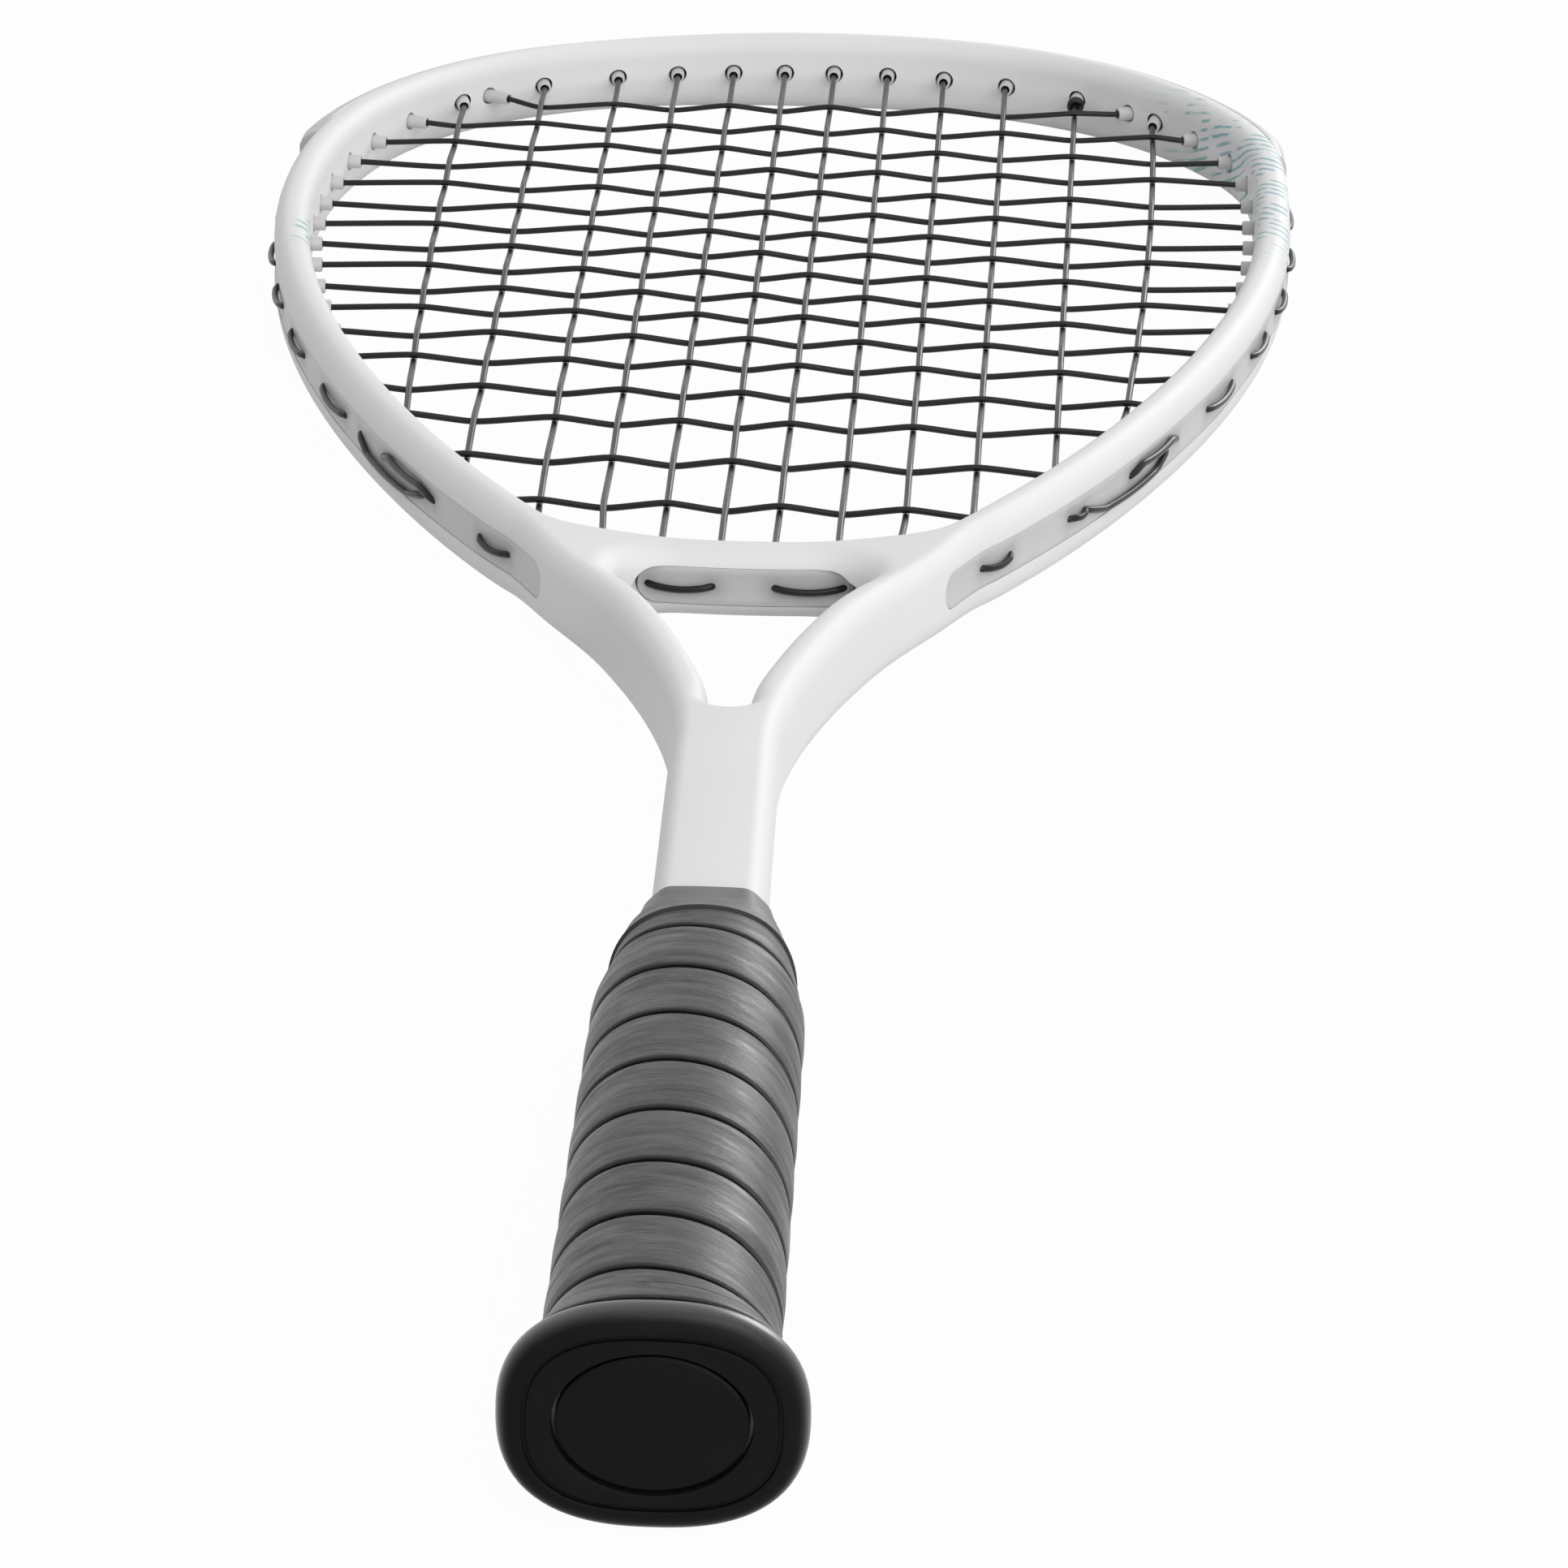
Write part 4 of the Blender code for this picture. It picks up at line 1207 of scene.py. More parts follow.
class Hole:
    """A string hole: from the barrel's mouth inside the hoop to a place on the outer edge."""

    def __init__(self, mouth: Points, rail: Rail, place: float | None = None) -> None:
        """Take a way out from a mouth, the shortest one if no place is given."""
        self.mouth = np.asarray(mouth, float)
        self.rail = rail
        self.place = rail.nearest(self.mouth) if place is None else place
        self.exit = rail.at(self.place, 0.0)
        self.way = (self.exit - self.mouth) / np.linalg.norm(self.exit - self.mouth)

    def spot(self, depth: float) -> Points:
        """Return the point on the hole's axis at a depth below the outer edge."""
        return flat(self.exit - self.way * depth)

    def start(self) -> Points:
        """Return the middle of the mouth."""
        return flat(self.mouth)

    def frame(self) -> Matrix:
        """Find where a thing lies that goes from the mouth outwards.

        Returns:
            The place of a thing modelled along +Z.
        """
        out = Vector((*self.way, 0.0))
        side = Vector((0.0, 0.0, 1.0)).cross(out)
        turn = Matrix((side, Vector((0.0, 0.0, 1.0)), out)).transposed().to_4x4()
        if turn.determinant() < 0:
            turn = Matrix((-side, Vector((0.0, 0.0, 1.0)), out)).transposed().to_4x4()
        return Matrix.Translation((*self.mouth, 0.0)) @ turn


@dataclass
class Bed:
    """The woven strings: 12 mains and 17 crosses, with loops outside the hoop."""

    frame: Frame
    diameter: float = 0.00127
    weave: tuple[float, float] = (0.00062, 0.00066)
    proud: float = 0.0025
    loop_proud: float = 0.00075
    loop_lift: float = 0.0017
    loop_lead: float = 0.0003
    tail_lift: float = 0.0003
    clear: float = 0.0012
    bury: float = 0.0012
    tied_main: int = 10
    tip_y: float = 0.660
    throat_y: float = 0.380
    tip_x: tuple[float, ...] = (
        -0.0759, -0.0588, -0.0425, -0.0292, -0.0166, -0.0049, 0.0062, 0.0184, 0.0312, 0.0453, 0.0613, 0.0785,
    )
    throat_x: tuple[float, ...] = (
        -0.0662, -0.0544, -0.0395, -0.0277, -0.0163, -0.0055, 0.0043, 0.0157, 0.0272, 0.0395, 0.0538, 0.0640,
    )
    bow: tuple[float, float] = (0.0016, 0.0028)
    first_ends: tuple[float, float] = (0.0046, 0.0026)
    exit_y: dict[int, float] = field(default_factory=lambda: {
        0: 0.400, 1: 0.3645, 2: 0.342, 3: 0.332, 8: 0.3316, 9: 0.3404, 10: 0.3667, 11: 0.4042})
    cross_y: tuple[float, ...] = (
        0.6448, 0.6261, 0.6079, 0.5906, 0.5731, 0.5566, 0.5412, 0.5260, 0.5107, 0.4953, 0.4807, 0.4647,
        0.4480, 0.4294, 0.4108, 0.3871, 0.3616,
    )
    main_holes: list[tuple[Hole, Hole]] = field(init=False)
    cross_holes: list[tuple[Hole, Hole]] = field(init=False)
    loops: list[Points] = field(init=False)

    def __post_init__(self) -> None:
        """Find the holes at both ends of every string."""
        self.loops = []
        self.cross_holes = [
            (self.cross_hole(cross, True), self.cross_hole(cross, False))
            for cross in range(len(self.cross_y))
        ]
        self.main_holes = [self.main_pair(main) for main in range(len(self.tip_x))]

    def cross_hole(self, cross: int, left: bool) -> Hole:
        """Return the hole at one end of a cross, which slants more towards the tip.

        Args:
            cross: The cross, counted from the tip.
            left: Whether it is the left end.

        Returns:
            The hole.
        """
        rail = self.frame.rail
        level = self.cross_y[cross] + (self.first_ends[0 if left else 1] if cross == 0 else 0.0)
        deep = self.frame.beam + self.proud
        if left:
            corner = 0.0015 * float(soft_step(level, 0.600, 0.626))
            deep += corner + 0.0010 * float(soft_step(level, 0.635, 0.648))
        hole = Hole(rail.at(rail.level(1, level, deep)[-1 if left else -2], deep), rail)
        slant = 0.3 + 0.4 * float(soft_step(hole.mouth[1], 0.600, 0.630))
        level = (1 - slant) * hole.mouth[1] + slant * hole.exit[1]
        out = [place for place in rail.level(1, level) if rail.at(place, 0.0)[0] * hole.mouth[0] > 0]
        return Hole(hole.mouth, rail, min(out, key=lambda place: abs(place - hole.place)))

    def main_pair(self, main: int) -> tuple[Hole, Hole]:
        """Find the holes at both ends of a main.

        Args:
            main: The main, counted from the left.

        Returns:
            The hole at the tip and the one at the throat.
        """
        rail, sill = self.frame.rail, self.frame.sill
        reach = self.frame.beam + self.proud
        deep = self.frame.bridge_width + self.proud

        def side_of(spot: Points) -> Points:
            """Return how far points lie to the right of the main."""
            return spot[..., 0] - self.main_x(main, spot[..., 1])

        mouths = [rail.at(place, reach) for place in rail.crossings(side_of, reach)]
        top = max(mouths, key=lambda spot: spot[1])
        low = min((spot for spot in mouths if spot[1] > self.frame.bridge), key=lambda spot: spot[1])
        ends = sill.crossings(side_of, deep)
        on_sill = False
        if ends:
            rest = sill.at(ends[0], deep)
            on_sill = bool(abs(rest[0]) < 0.020 or low[1] > 0.6)
            low = rest if on_sill else low
        place = None
        if main in self.exit_y:
            level = self.exit_y[main]
            height = max(low[1], level + 0.001)
            low = np.array((float(self.main_x(main, height)), height))
            place = rail.level(1, level)[-1 if low[0] < 0 else 0]
        out = max(rail.crossings(side_of, 0.0), key=lambda place: rail.at(place, 0.0)[1])
        tip = Hole(top, rail, 0.75 * out + 0.25 * rail.nearest(top))
        return tip, Hole(low, sill if on_sill else rail, place)

    def main_x(self, main: int, y: Points | float) -> Points:
        """Work out where a main lies, with the bow of the outermost two.

        Args:
            main: The main, counted from the left.
            y: The y.

        Returns:
            The x at each y.
        """
        share = (np.asarray(y, float) - self.throat_y) / (self.tip_y - self.throat_y)
        x = self.throat_x[main] + (self.tip_x[main] - self.throat_x[main]) * share
        if main == 0:
            x = x - 4 * self.bow[0] * share * (1 - share)
        if main == len(self.tip_x) - 1:
            x = x + 4 * self.bow[1] * share * (1 - share)
        return x + lean(y)

    def batches(self) -> list[list[Hole]]:
        """Return every hole: the mains' at the tip, the mains' at the throat and the crosses'."""
        crosses = [hole for pair in self.cross_holes for hole in pair]
        return [[top for top, _ in self.main_holes], [low for _, low in self.main_holes], crosses]

    def holes(self) -> list[Hole]:
        """Return every hole."""
        return [hole for batch in self.batches() for hole in batch]

    def woven(self, pairs: Sequence[tuple[int, int]], height: float) -> list[Points]:
        """Return the points where a string passes the others inside the hoop.

        Args:
            pairs: The main and the cross that meet, in order.
            height: How high it passes where the two numbers add up to an even one, and how low elsewhere.

        Returns:
            The points.
        """
        points = []
        for main, cross in pairs:
            top, low = self.main_holes[main]
            left, right = self.cross_holes[cross]
            y = self.cross_y[cross]
            x = float(self.main_x(main, y))
            across = left.mouth[0] + self.clear < x < right.mouth[0] - self.clear
            if across and low.mouth[1] + self.clear < y < top.mouth[1] - self.clear:
                points.append(np.array((x, y, height if (main + cross) % 2 == 0 else -height)))
        return points

    def main_run(self, main: int) -> list[Points]:
        """Return the woven points of a main from the tip down."""
        return self.woven([(main, cross) for cross in range(len(self.cross_y))], -self.weave[0])

    def cross_run(self, cross: int) -> list[Points]:
        """Return the woven points of a cross from the left."""
        return self.woven([(main, cross) for main in range(len(self.tip_x))], self.weave[1])

    def loop(self, start: Hole, end: Hole, lift: float) -> Points:
        """Draw an outside loop between two holes, which stands proud and sags to one side.

        Args:
            start: The hole that it comes out of.
            end: The hole that it goes into.
            lift: How far it lies off the middle.

        Returns:
            The loop's points.
        """
        rail = start.rail
        lead = self.loop_lead / rail.step * (1 if end.place > start.place else -1)
        places = rail.between(start.place + lead, end.place - lead, 0.0014)
        arc = np.sin(np.pi * np.linspace(0, 1, len(places)))
        sag = lift * np.minimum(1.0, arc * 1.6 + 0.12) - 0.0005 * arc
        depth = self.loop_lead - (self.loop_proud + self.loop_lead) * arc ** 0.45
        spots = flat(rail.at(places, depth), sag)
        self.loops.append(spots)
        return spots

    def inside(self, hole: Hole) -> list[Points]:
        """Return a string's points in a hole, from the outer edge inwards."""
        return [hole.spot(self.bury), hole.spot(self.frame.beam / 2), hole.start()]

    def path(
        self,
        runs: Sequence[list[Points]],
        holes: Sequence[tuple[Hole, Hole]],
        lifts: dict[int, float],
        last: Hole | None = None,
    ) -> Points:
        """Return one string's whole path, to and fro, with its loops outside the frame.

        Args:
            runs: The woven points of each run, all in one direction.
            holes: The holes at both ends of each run, in that direction.
            lifts: How far some loops lie off the middle.
            last: The hole that the string's end goes back into.

        Returns:
            The points of the path.
        """
        runs = [run[::-1] if number % 2 else run for number, run in enumerate(runs)]
        ends = [pair[::-1] if number % 2 else pair for number, pair in enumerate(holes)]
        points: list[Points] = []
        for number, (run, (start, stop)) in enumerate(zip(runs, ends)):
            points += [spot[None] for spot in (*self.inside(start), *run, *self.inside(stop)[::-1])]
            if number < len(runs) - 1:
                points.append(self.loop(stop, ends[number + 1][0], lifts.get(number, 0.0)))
        if last is not None:
            points.append(self.loop(ends[-1][1], last, self.tail_lift))
            points += [spot[None] for spot in self.inside(last)[:2]]
        return through_points(np.concatenate(points), 6)

    def build(self) -> tuple[bpy.types.Object, bpy.types.Object]:
        """Model both strings.

        Returns:
            The main string and the cross string.
        """
        mains, crosses, lift = len(self.tip_x), len(self.cross_y), self.loop_lift
        runs = [self.main_run(main) for main in range(mains)]
        main_path = self.path(runs, self.main_holes, {0: -lift, mains - 2: -lift})
        runs = [self.cross_run(cross) for cross in range(crosses)]
        lifts = {crosses - 3: lift, crosses - 2: lift}
        cross_path = self.path(runs, self.cross_holes, lifts, self.main_holes[self.tied_main][1])
        made = []
        for name, path in (("main_strings", main_path), ("cross_strings", cross_path)):
            item = Bench.tube(name, path, self.diameter / 2)
            Bench.smooth(item, 60.0)
            made.append(item)
        return made[0], made[1]

    def knot(self) -> bpy.types.Object:
        """Model the tie-off knot on the last main but one: two tight turns and a cut tail.

        Returns:
            The knot.
        """
        main = len(self.tip_x) - 2
        mouth = self.main_holes[main][0].start()
        first = self.main_run(main)[0]
        way = (first - mouth) / np.linalg.norm(first - mouth)
        side = np.cross(way, (0.0, 0.0, 1.0))
        side /= np.linalg.norm(side)
        third = np.cross(way, side)
        turn = np.linspace(0.0, 2.35 * 2 * math.pi, 70)
        run = 0.0006 + 0.0011 * turn / (2 * math.pi)
        radius = 0.00118 + 0.00022 * np.sin(turn * 0.5) ** 2
        coil = mouth + run[:, None] * way + radius[:, None] * (
            np.cos(turn)[:, None] * side + np.sin(turn)[:, None] * third)
        last = coil[-1] - coil[-2]
        last /= np.linalg.norm(last)
        end = last * 0.0016 + side * 0.0012 + (0, 0, 0.0008)
        tail = coil[-1] + np.linspace(0.0, 1.0, 8)[1:, None] * end
        item = Bench.tube("tie_off_knot", np.concatenate([coil, tail]), self.diameter / 2)
        Bench.smooth(item, 60.0)
        return item


# String guards


@dataclass
class Guards:
    """The frosted guards: a bumper over the tip, a strip down each side and one on the bridge."""

    frame: Frame
    bed: Bed
    height: float = 0.0068
    strip_y: float = 0.3173
    strip_gap: float = 0.0006
    bridge_half: float = 0.0185
    bumper_y: float = 0.5900
    bumper_height: float = 0.0088
    bumper_proud: float = 0.0030
    barrel: float = 0.0032
    barrel_short: float = 0.0012
    barrel_mouth: float = 0.92
    barrel_round: float = 0.00028
    barrel_wall: float = 0.00018
    barrel_bore: float = 0.0042

    def barrel_model(self, length: float) -> bpy.types.Object:
        """Model one barrel: a tapered tube along +Z with a rounded mouth at z = 0.

        Args:
            length: The barrel's length.

        Returns:
            The barrel.
        """
        Bench.clear()
        bpy.ops.mesh.primitive_cylinder_add(
            vertices=18, radius=self.barrel / 2, depth=length, location=(0, 0, length / 2),
            end_fill_type="NGON",
        )
        item = bpy.context.object
        bpy.ops.object.transform_apply(location=True)
        Bench.edit(item, select=False)
        bpy.ops.mesh.select_mode(type="FACE")
        Bench.done()
        for face in item.data.polygons:
            face.select = face.normal.z < -0.9
        bpy.ops.object.mode_set(mode="EDIT")
        bpy.ops.transform.resize(value=(self.barrel_mouth, self.barrel_mouth, 1.0))
        bpy.ops.mesh.bevel(offset=self.barrel_round, segments=2, affect="EDGES")
        bpy.ops.mesh.select_all(action="DESELECT")
        Bench.done()
        for face in item.data.polygons:
            face.select = face.normal.z < -0.99
        bpy.ops.object.mode_set(mode="EDIT")
        bpy.ops.mesh.inset(thickness=self.barrel_wall)
        bpy.ops.mesh.extrude_region_move(TRANSFORM_OT_translate={"value": (0, 0, self.barrel_bore)})
        bpy.ops.mesh.select_all(action="SELECT")
        bpy.ops.mesh.normals_make_consistent(inside=False)
        Bench.done()
        return item

    @staticmethod
    def mirrored(upper: list[tuple[float, float]]) -> list[tuple[float, float]]:
        """Return a whole section from the (depth, z) points of its upper half."""
        return upper + [(depth, -z) for depth, z in reversed(upper)]

    def strip_section(self) -> list[tuple[float, float]]:
        """Draw the section of a side strip, with a shallow channel.

        Returns:
            The section as (depth, z) points.
        """
        deep = self.frame.groove - 0.0002
        face = 0.00012
        half = self.height / 2
        return self.mirrored([
            (deep, half), (face + 0.00025, half), (face + 0.00006, half - 0.00008), (face, half - 0.00025),
            (face, half - 0.0012), (face + 0.00018, half - 0.0017), (face + 0.00018, 0.0004),
        ])

    def bumper_section(self) -> list[tuple[float, float]]:
        """Draw the bumper's section, with a channel for the strings.

        Returns:
            The section as (depth, z) points.
        """
        half = self.bumper_height / 2
        out = -self.bumper_proud
        deep = self.frame.groove - 0.0003
        return self.mirrored([
            (deep, half - 0.0001), (0.0002, half + 0.0001), (0.0004, half + 0.0012), (0.0008, half + 0.0022),
            (0.0015, half + 0.0032), (0.0012, half + 0.0035), (0.0005, half + 0.0034),
            (-0.0004, half + 0.0029), (out / 2, half + 0.0020), (out + 0.0005, half + 0.0007),
            (out, half - 0.0008), (out, 0.0016), (out + 0.0003, 0.0012), (0.0004, 0.0011),
        ])

    def bumper(self, ends: tuple[float, float]) -> bpy.types.Object:
        """Make the bumper, which thins out towards both ends, more on the right.

        Args:
            ends: The places on the rail where it starts and stops.

        Returns:
            The bumper.
        """
        rail = self.frame.rail
        places = rail.between(ends[0], ends[1], 0.0022)
        gap = np.minimum(np.abs(places - ends[0]), np.abs(places - ends[1])) * rail.step
        side = rail.at(places, 0.0)[:, 0]
        end, run, extra = np.where(side > 0, [[0.30], [0.020], [0.15]], [[0.80], [0.006], [0.45]])
        thin = end + (1 - end) * soft_step(gap / run, 0.0, 1.0)
        thin = thin * (1 + extra * soft_step(np.abs(side), 0.045, 0.075))
        seat = self.bumper_height / 2
        rings = []
        for depth, z in self.bumper_section():
            low = np.where(depth < 0, depth * thin, depth)
            over = max(abs(z) - seat, 0.0) * (0.70 + 0.30 * soft_step(gap, 0.0, 0.012))
            rings.append(flat(rail.at(places, low), math.copysign(1.0, z) * (min(abs(z), seat) + over)))
        return Bench.skin("bumper_strip", np.array(rings).transpose(1, 0, 2))

    def build(self) -> dict[str, bpy.types.Object]:
        """Model the four guards with their barrels.

        Returns:
            The guards by the names of the solids that they stand for.
        """
        rail, sill = self.frame.rail, self.frame.sill
        low = rail.level(1, self.strip_y)
        high = rail.level(1, self.bumper_y)
        gap = self.strip_gap / rail.step
        left, right = (sill.level(0, x)[0] for x in (-self.bridge_half, self.bridge_half))
        section = self.strip_section()
        band = self.frame.band
        one, both = (False, True), (True, True)
        bands = {
            "bumper_guard": self.bumper((high[0], high[-1])),
            "grommet_strip_right": band("strip_right", rail, (high[0] - gap, low[0]), section, one),
            "grommet_strip_left": band("strip_left", rail, (high[-1] + gap, low[-1]), section, one),
            "grommet_strip_bridge": band("strip_bridge", sill, (left, right), section, both, 0.001),
        }
        length = self.frame.beam + self.bed.proud - self.barrel_short
        made = {}
        for name, strip in bands.items():
            places = []
            for hole in self.bed.holes():
                if self.owner(hole, high) == name:
                    span = float(np.linalg.norm(hole.exit - hole.mouth)) - self.barrel_short
                    places.append(hole.frame() @ Matrix.Diagonal((1, 1, span / length, 1)))
            barrels = Bench.copies(name + "_barrels", self.barrel_model(length), places)
            item = Bench.join(strip, barrels)
            title = name.replace("grommet_strip", "string_guard")
            item.name = title.replace("bumper_guard", "string_guard_tip")
            self.shade(item)
            Bench.smooth(item, 40.0)
            made[name] = item
        return made

    def owner(self, hole: Hole, high: Sequence[float]) -> str:
        """Tell which guard a hole belongs to.

        Args:
            hole: The hole.
            high: The places on the rail where the bumper ends.

        Returns:
            The name of the guard's solid.
        """
        if hole.rail is self.frame.sill:
            return "grommet_strip_bridge"
        if hole.place < high[0]:
            return "grommet_strip_right"
        return "grommet_strip_left" if hole.place > high[-1] else "bumper_guard"

    def shade(self, item: bpy.types.Object) -> None:
        """Keep on each point how close a string or a hole lies, for the painted shade on the milky plastic.

        Args:
            item: The guard.
        """
        spots = Bench.spots(item)
        loops = np.concatenate(self.bed.loops)
        exits = np.array([flat(hole.exit) for hole in self.bed.holes()])
        near = np.full(len(spots), 9.0)
        for start in range(0, len(spots), 2000):
            part = spots[start:start + 2000, None, :]
            near[start:start + 2000] = np.minimum(
                np.sqrt(((part - loops[None]) ** 2).sum(axis=2)).min(axis=1) * 1.5,
                np.sqrt(((part - exits[None]) ** 2).sum(axis=2)).min(axis=1) * 0.8,
            )
        # painted shade, strongest at hole exits and weaker along the loops
        Bench.number(item, "near_string", 0.62 * np.exp(-((near / 0.0017) ** 2)))


# Handle


@dataclass
class Handle:
    """The wound grip, its finishing tape, the butt cap and the cover in it."""

    width: float = 0.0270
    height: float = 0.0236
    chamfer: float = 0.0070
    taper: tuple[float, float] = (0.126, 0.1555)
    thin: tuple[float, float, float] = (0.0186, 0.0184, 0.0032)
    neck: float = 0.022
    flare_y: float = 0.0056
    flare: tuple[float, float] = (0.0352, 0.0268)
    rim_y: float = 0.0052
    rim: tuple[float, float] = (0.0396, 0.0310)
    rim_round: float = 0.0032
    rim_power: float = 2.42
    panel_groove: float = 0.0006
    cover: tuple[float, float] = (0.0254, 0.0196)
    cover_recess: float = 0.0003
    cover_thickness: float = 0.0016
    ledge: float = 0.0022
    ledge_y: tuple[float, float] = (0.0022, 0.0034)
    hollow: tuple[float, float] = (0.0028, 0.0008)
    plug_y: float = 0.0050
    wrap: float = 0.0020
    wrap_width: float = 0.0151
    pitch: float = 0.0165
    wrap_start: float = 0.0059
    wrap_end: float = 0.1432
    tape_end: float = 0.1562
    fit: float = 0.0003
    wrap_turn: float = math.radians(-123.0)
    per_turn: int = 72
    sides: int = 96

    @staticmethod
    def octagon(
        turn: Points, width: Points, height: Points, chamfer: Points, sharp: Points | float = 16.0
    ) -> Points:
        """Work out the reach of an eight-sided section with rounded corners.

        Args:
            turn: The directions.
            width: The section's width.
            height: Its height.
            chamfer: How much its corners are cut.
            sharp: How sharp the corners that are left are.

        Returns:
            The reach in each direction.
        """
        slant = (width / 2 + height / 2 - chamfer) / math.sqrt(2)
        sides = (
            np.cos(turn) / (width / 2), np.sin(turn) / (height / 2),
            np.cos(turn - math.pi / 4) / slant, np.cos(turn + math.pi / 4) / slant,
        )
        flush = (1 + 2 * (width / 2 * math.sqrt(0.5) / slant) ** sharp) ** (1 / sharp)
        return flush * sum(np.abs(side) ** sharp for side in sides) ** (-1 / sharp)

    @staticmethod
    def oval(turn: Points, width: float, height: float, power: float = 2.0) -> Points:
        """Return the reach of an oval in directions."""
        across = np.abs(np.cos(turn) / (width / 2)) ** power
        return (across + np.abs(np.sin(turn) / (height / 2)) ** power) ** (-1 / power)

    def reach(self, turn: Points, y: Points, grow: Points, sharp: Points | float = 6.0) -> Points:
        """Work out the handle's reach, with the flare and the taper.

        Args:
            turn: The directions.
            y: The heights along the handle.
            grow: How far outside the handle.
            sharp: How sharp the section's corners are.

        Returns:
            The reach at each.
        """
        turn, y, grow = np.broadcast_arrays(*(np.asarray(value, float) for value in (turn, y, grow)))
        share = np.clip((y - self.taper[0]) / (self.taper[1] - self.taper[0]), 0, 1)
        thick = (self.width, self.height, self.chamfer)
        sizes = [full + (thin - full) * share for full, thin in zip(thick, self.thin)]
        straight = self.octagon(turn, sizes[0], sizes[1], sizes[2], sharp) + grow
        flare = np.clip((self.neck - y) / (self.neck - self.flare_y), 0, 1) ** 2
        wide = self.oval(turn, self.flare[0], self.flare[1], 2.35) + grow
        return straight + (wide - straight) * flare

    @staticmethod
    def ring(turn: Points, reach: Points, y: Points) -> Points:
        """Return points at directions, a reach and a height."""
        turn, reach, y = np.broadcast_arrays(turn, reach, y)
        return np.stack([reach * np.cos(turn), y, reach * np.sin(turn)], axis=-1)

    def around(self) -> Points:
        """Return the directions of the points round the tape, the cap and the cover."""
        return 2 * math.pi * np.arange(self.sides) / self.sides

    def oval_ring(self, size: Sequence[float], y: float, power: float = 2.0) -> Points:
        """Return points round an oval at a height."""
        turn = self.around()
        return self.ring(turn, self.oval(turn, size[0], size[1], power), y)

    @staticmethod
    def less(size: Sequence[float], inset: float) -> list[float]:
        """Return a width and a height less an inset."""
        return [side - inset for side in size]

    def build_wrap(self) -> bpy.types.Object:
        """Model the wound strip: one unbroken winding with rounded edges, cut straight at both ends.

        Returns:
            The winding.
        """
        tip = 0.0015
        first = math.ceil(tip / self.pitch * self.per_turn)
        length = self.wrap_end - tip - self.wrap_start + self.wrap_width
        last = math.floor(length / self.pitch * self.per_turn)
        station = np.arange(first, last + 1)
        high = self.wrap_start + self.pitch * station / self.per_turn
        low = np.maximum(high - self.wrap_width, self.wrap_start)
        high = np.minimum(high, self.wrap_end)
        turn = self.wrap_turn + 2 * math.pi * station / self.per_turn
        inset = np.array((0.0, 0.0, 0.00004, 0.00014, 0.00034, 0.0007, 0.0014, 0.0028, 0.0050))
        level = np.array((0.05, 0.62, 0.75, 0.85, 0.91, 0.945, 0.97, 1.0, 1.03))
        gap = np.concatenate([inset, [0.0079], inset[::-1]])
        rise = np.concatenate([level, [1.05], level[::-1]])
        rings, edge = [], []
        for number, (inset_at, rise_at) in enumerate(zip(gap, rise)):
            inset_here = np.minimum(inset_at, (high - low) / 2)
            y = low + inset_here if number < len(inset) else high - inset_here
            if number == len(inset):
                y = (low + high) / 2
            grow = self.fit + (self.wrap - self.fit) * rise_at
            rings.append(self.ring(turn, self.reach(turn, y, grow), y))
            # painted shade: the edge number is 1 at the strip's edges and fades inwards, and the grip's
            # colour turns black there
            edge.append(np.full(len(turn), float(np.exp(-((inset_at / 0.0003) ** 2)))))
        # a skirt under each gap, marked 1 so that it is coloured black as painted shade in the seam
        skirt = np.minimum(high + self.pitch - self.wrap_width + 0.0004, self.wrap_end)
        for y, share in ((high, 1.4), (skirt, 1.4), (skirt, 0.5), (low, 0.5)):
            rings.append(self.ring(turn, self.reach(turn, y, self.fit * share), y))
            edge.append(np.ones(len(turn)))
        rings = np.array(rings).transpose(1, 0, 2)
        item = Bench.skin("wound_grip", rings)
        order = nearest_index(Bench.spots(item), rings.reshape(-1, 3))
        along = np.repeat(station * 0.088 / self.per_turn, rings.shape[1])
        across = (rings[:, :, 1] - high[:, None]).ravel()
        Bench.number(item, "along", along[order])
        Bench.number(item, "across", across[order])
        Bench.number(item, "edge", np.array(edge).T.ravel()[order])
        Bench.smooth(item, 50.0)
        return item

    def layer(self, turn: Points, y: Points, grow: float) -> Points:
        """Return a ring of the tape, which keeps the corners of the handle below it."""
        sharp = 6.0 + 24.0 * soft_step(y, 0.1420, self.tape_end)
        return self.ring(turn, self.reach(turn, y, grow, sharp), y)

    def build_tape(self) -> bpy.types.Object:
        """Model the finishing tape: thin turns over each other on the handle's taper.

        Returns:
            The tape.
        """
        turn = self.around()
        edges = (
            (0.1436, 0.0020, 0.04), (0.1456, 0.0017, -0.05), (0.1472, 0.0013, 0.06),
            (0.1490, 0.0010, -0.03), (0.1512, 0.0007, 0.05), (self.tape_end, 0.0003, 0.0),
        )
        low = np.full(len(turn), self.wrap_end - 0.0030)
        rings = [self.layer(turn, low, 0.0001)]
        grow = 0.0025
        for y, after, slope in edges:
            line = y + slope * np.cos(turn) * 0.012
            rings.append(self.layer(turn, low, grow))
            for before, above in ((0.00040, 0.00016), (0.00030, -0.00020), (0.00004, -0.00020)):
                rings.append(self.layer(turn, line - before, after + above))
            low, grow = line, after
        rings.append(self.layer(turn, low, 0.0001))
        item = Bench.skin("finishing_tape_turns", np.array(rings), cap=False, ring=True)
        Bench.smooth(item, 28.0)
        return item

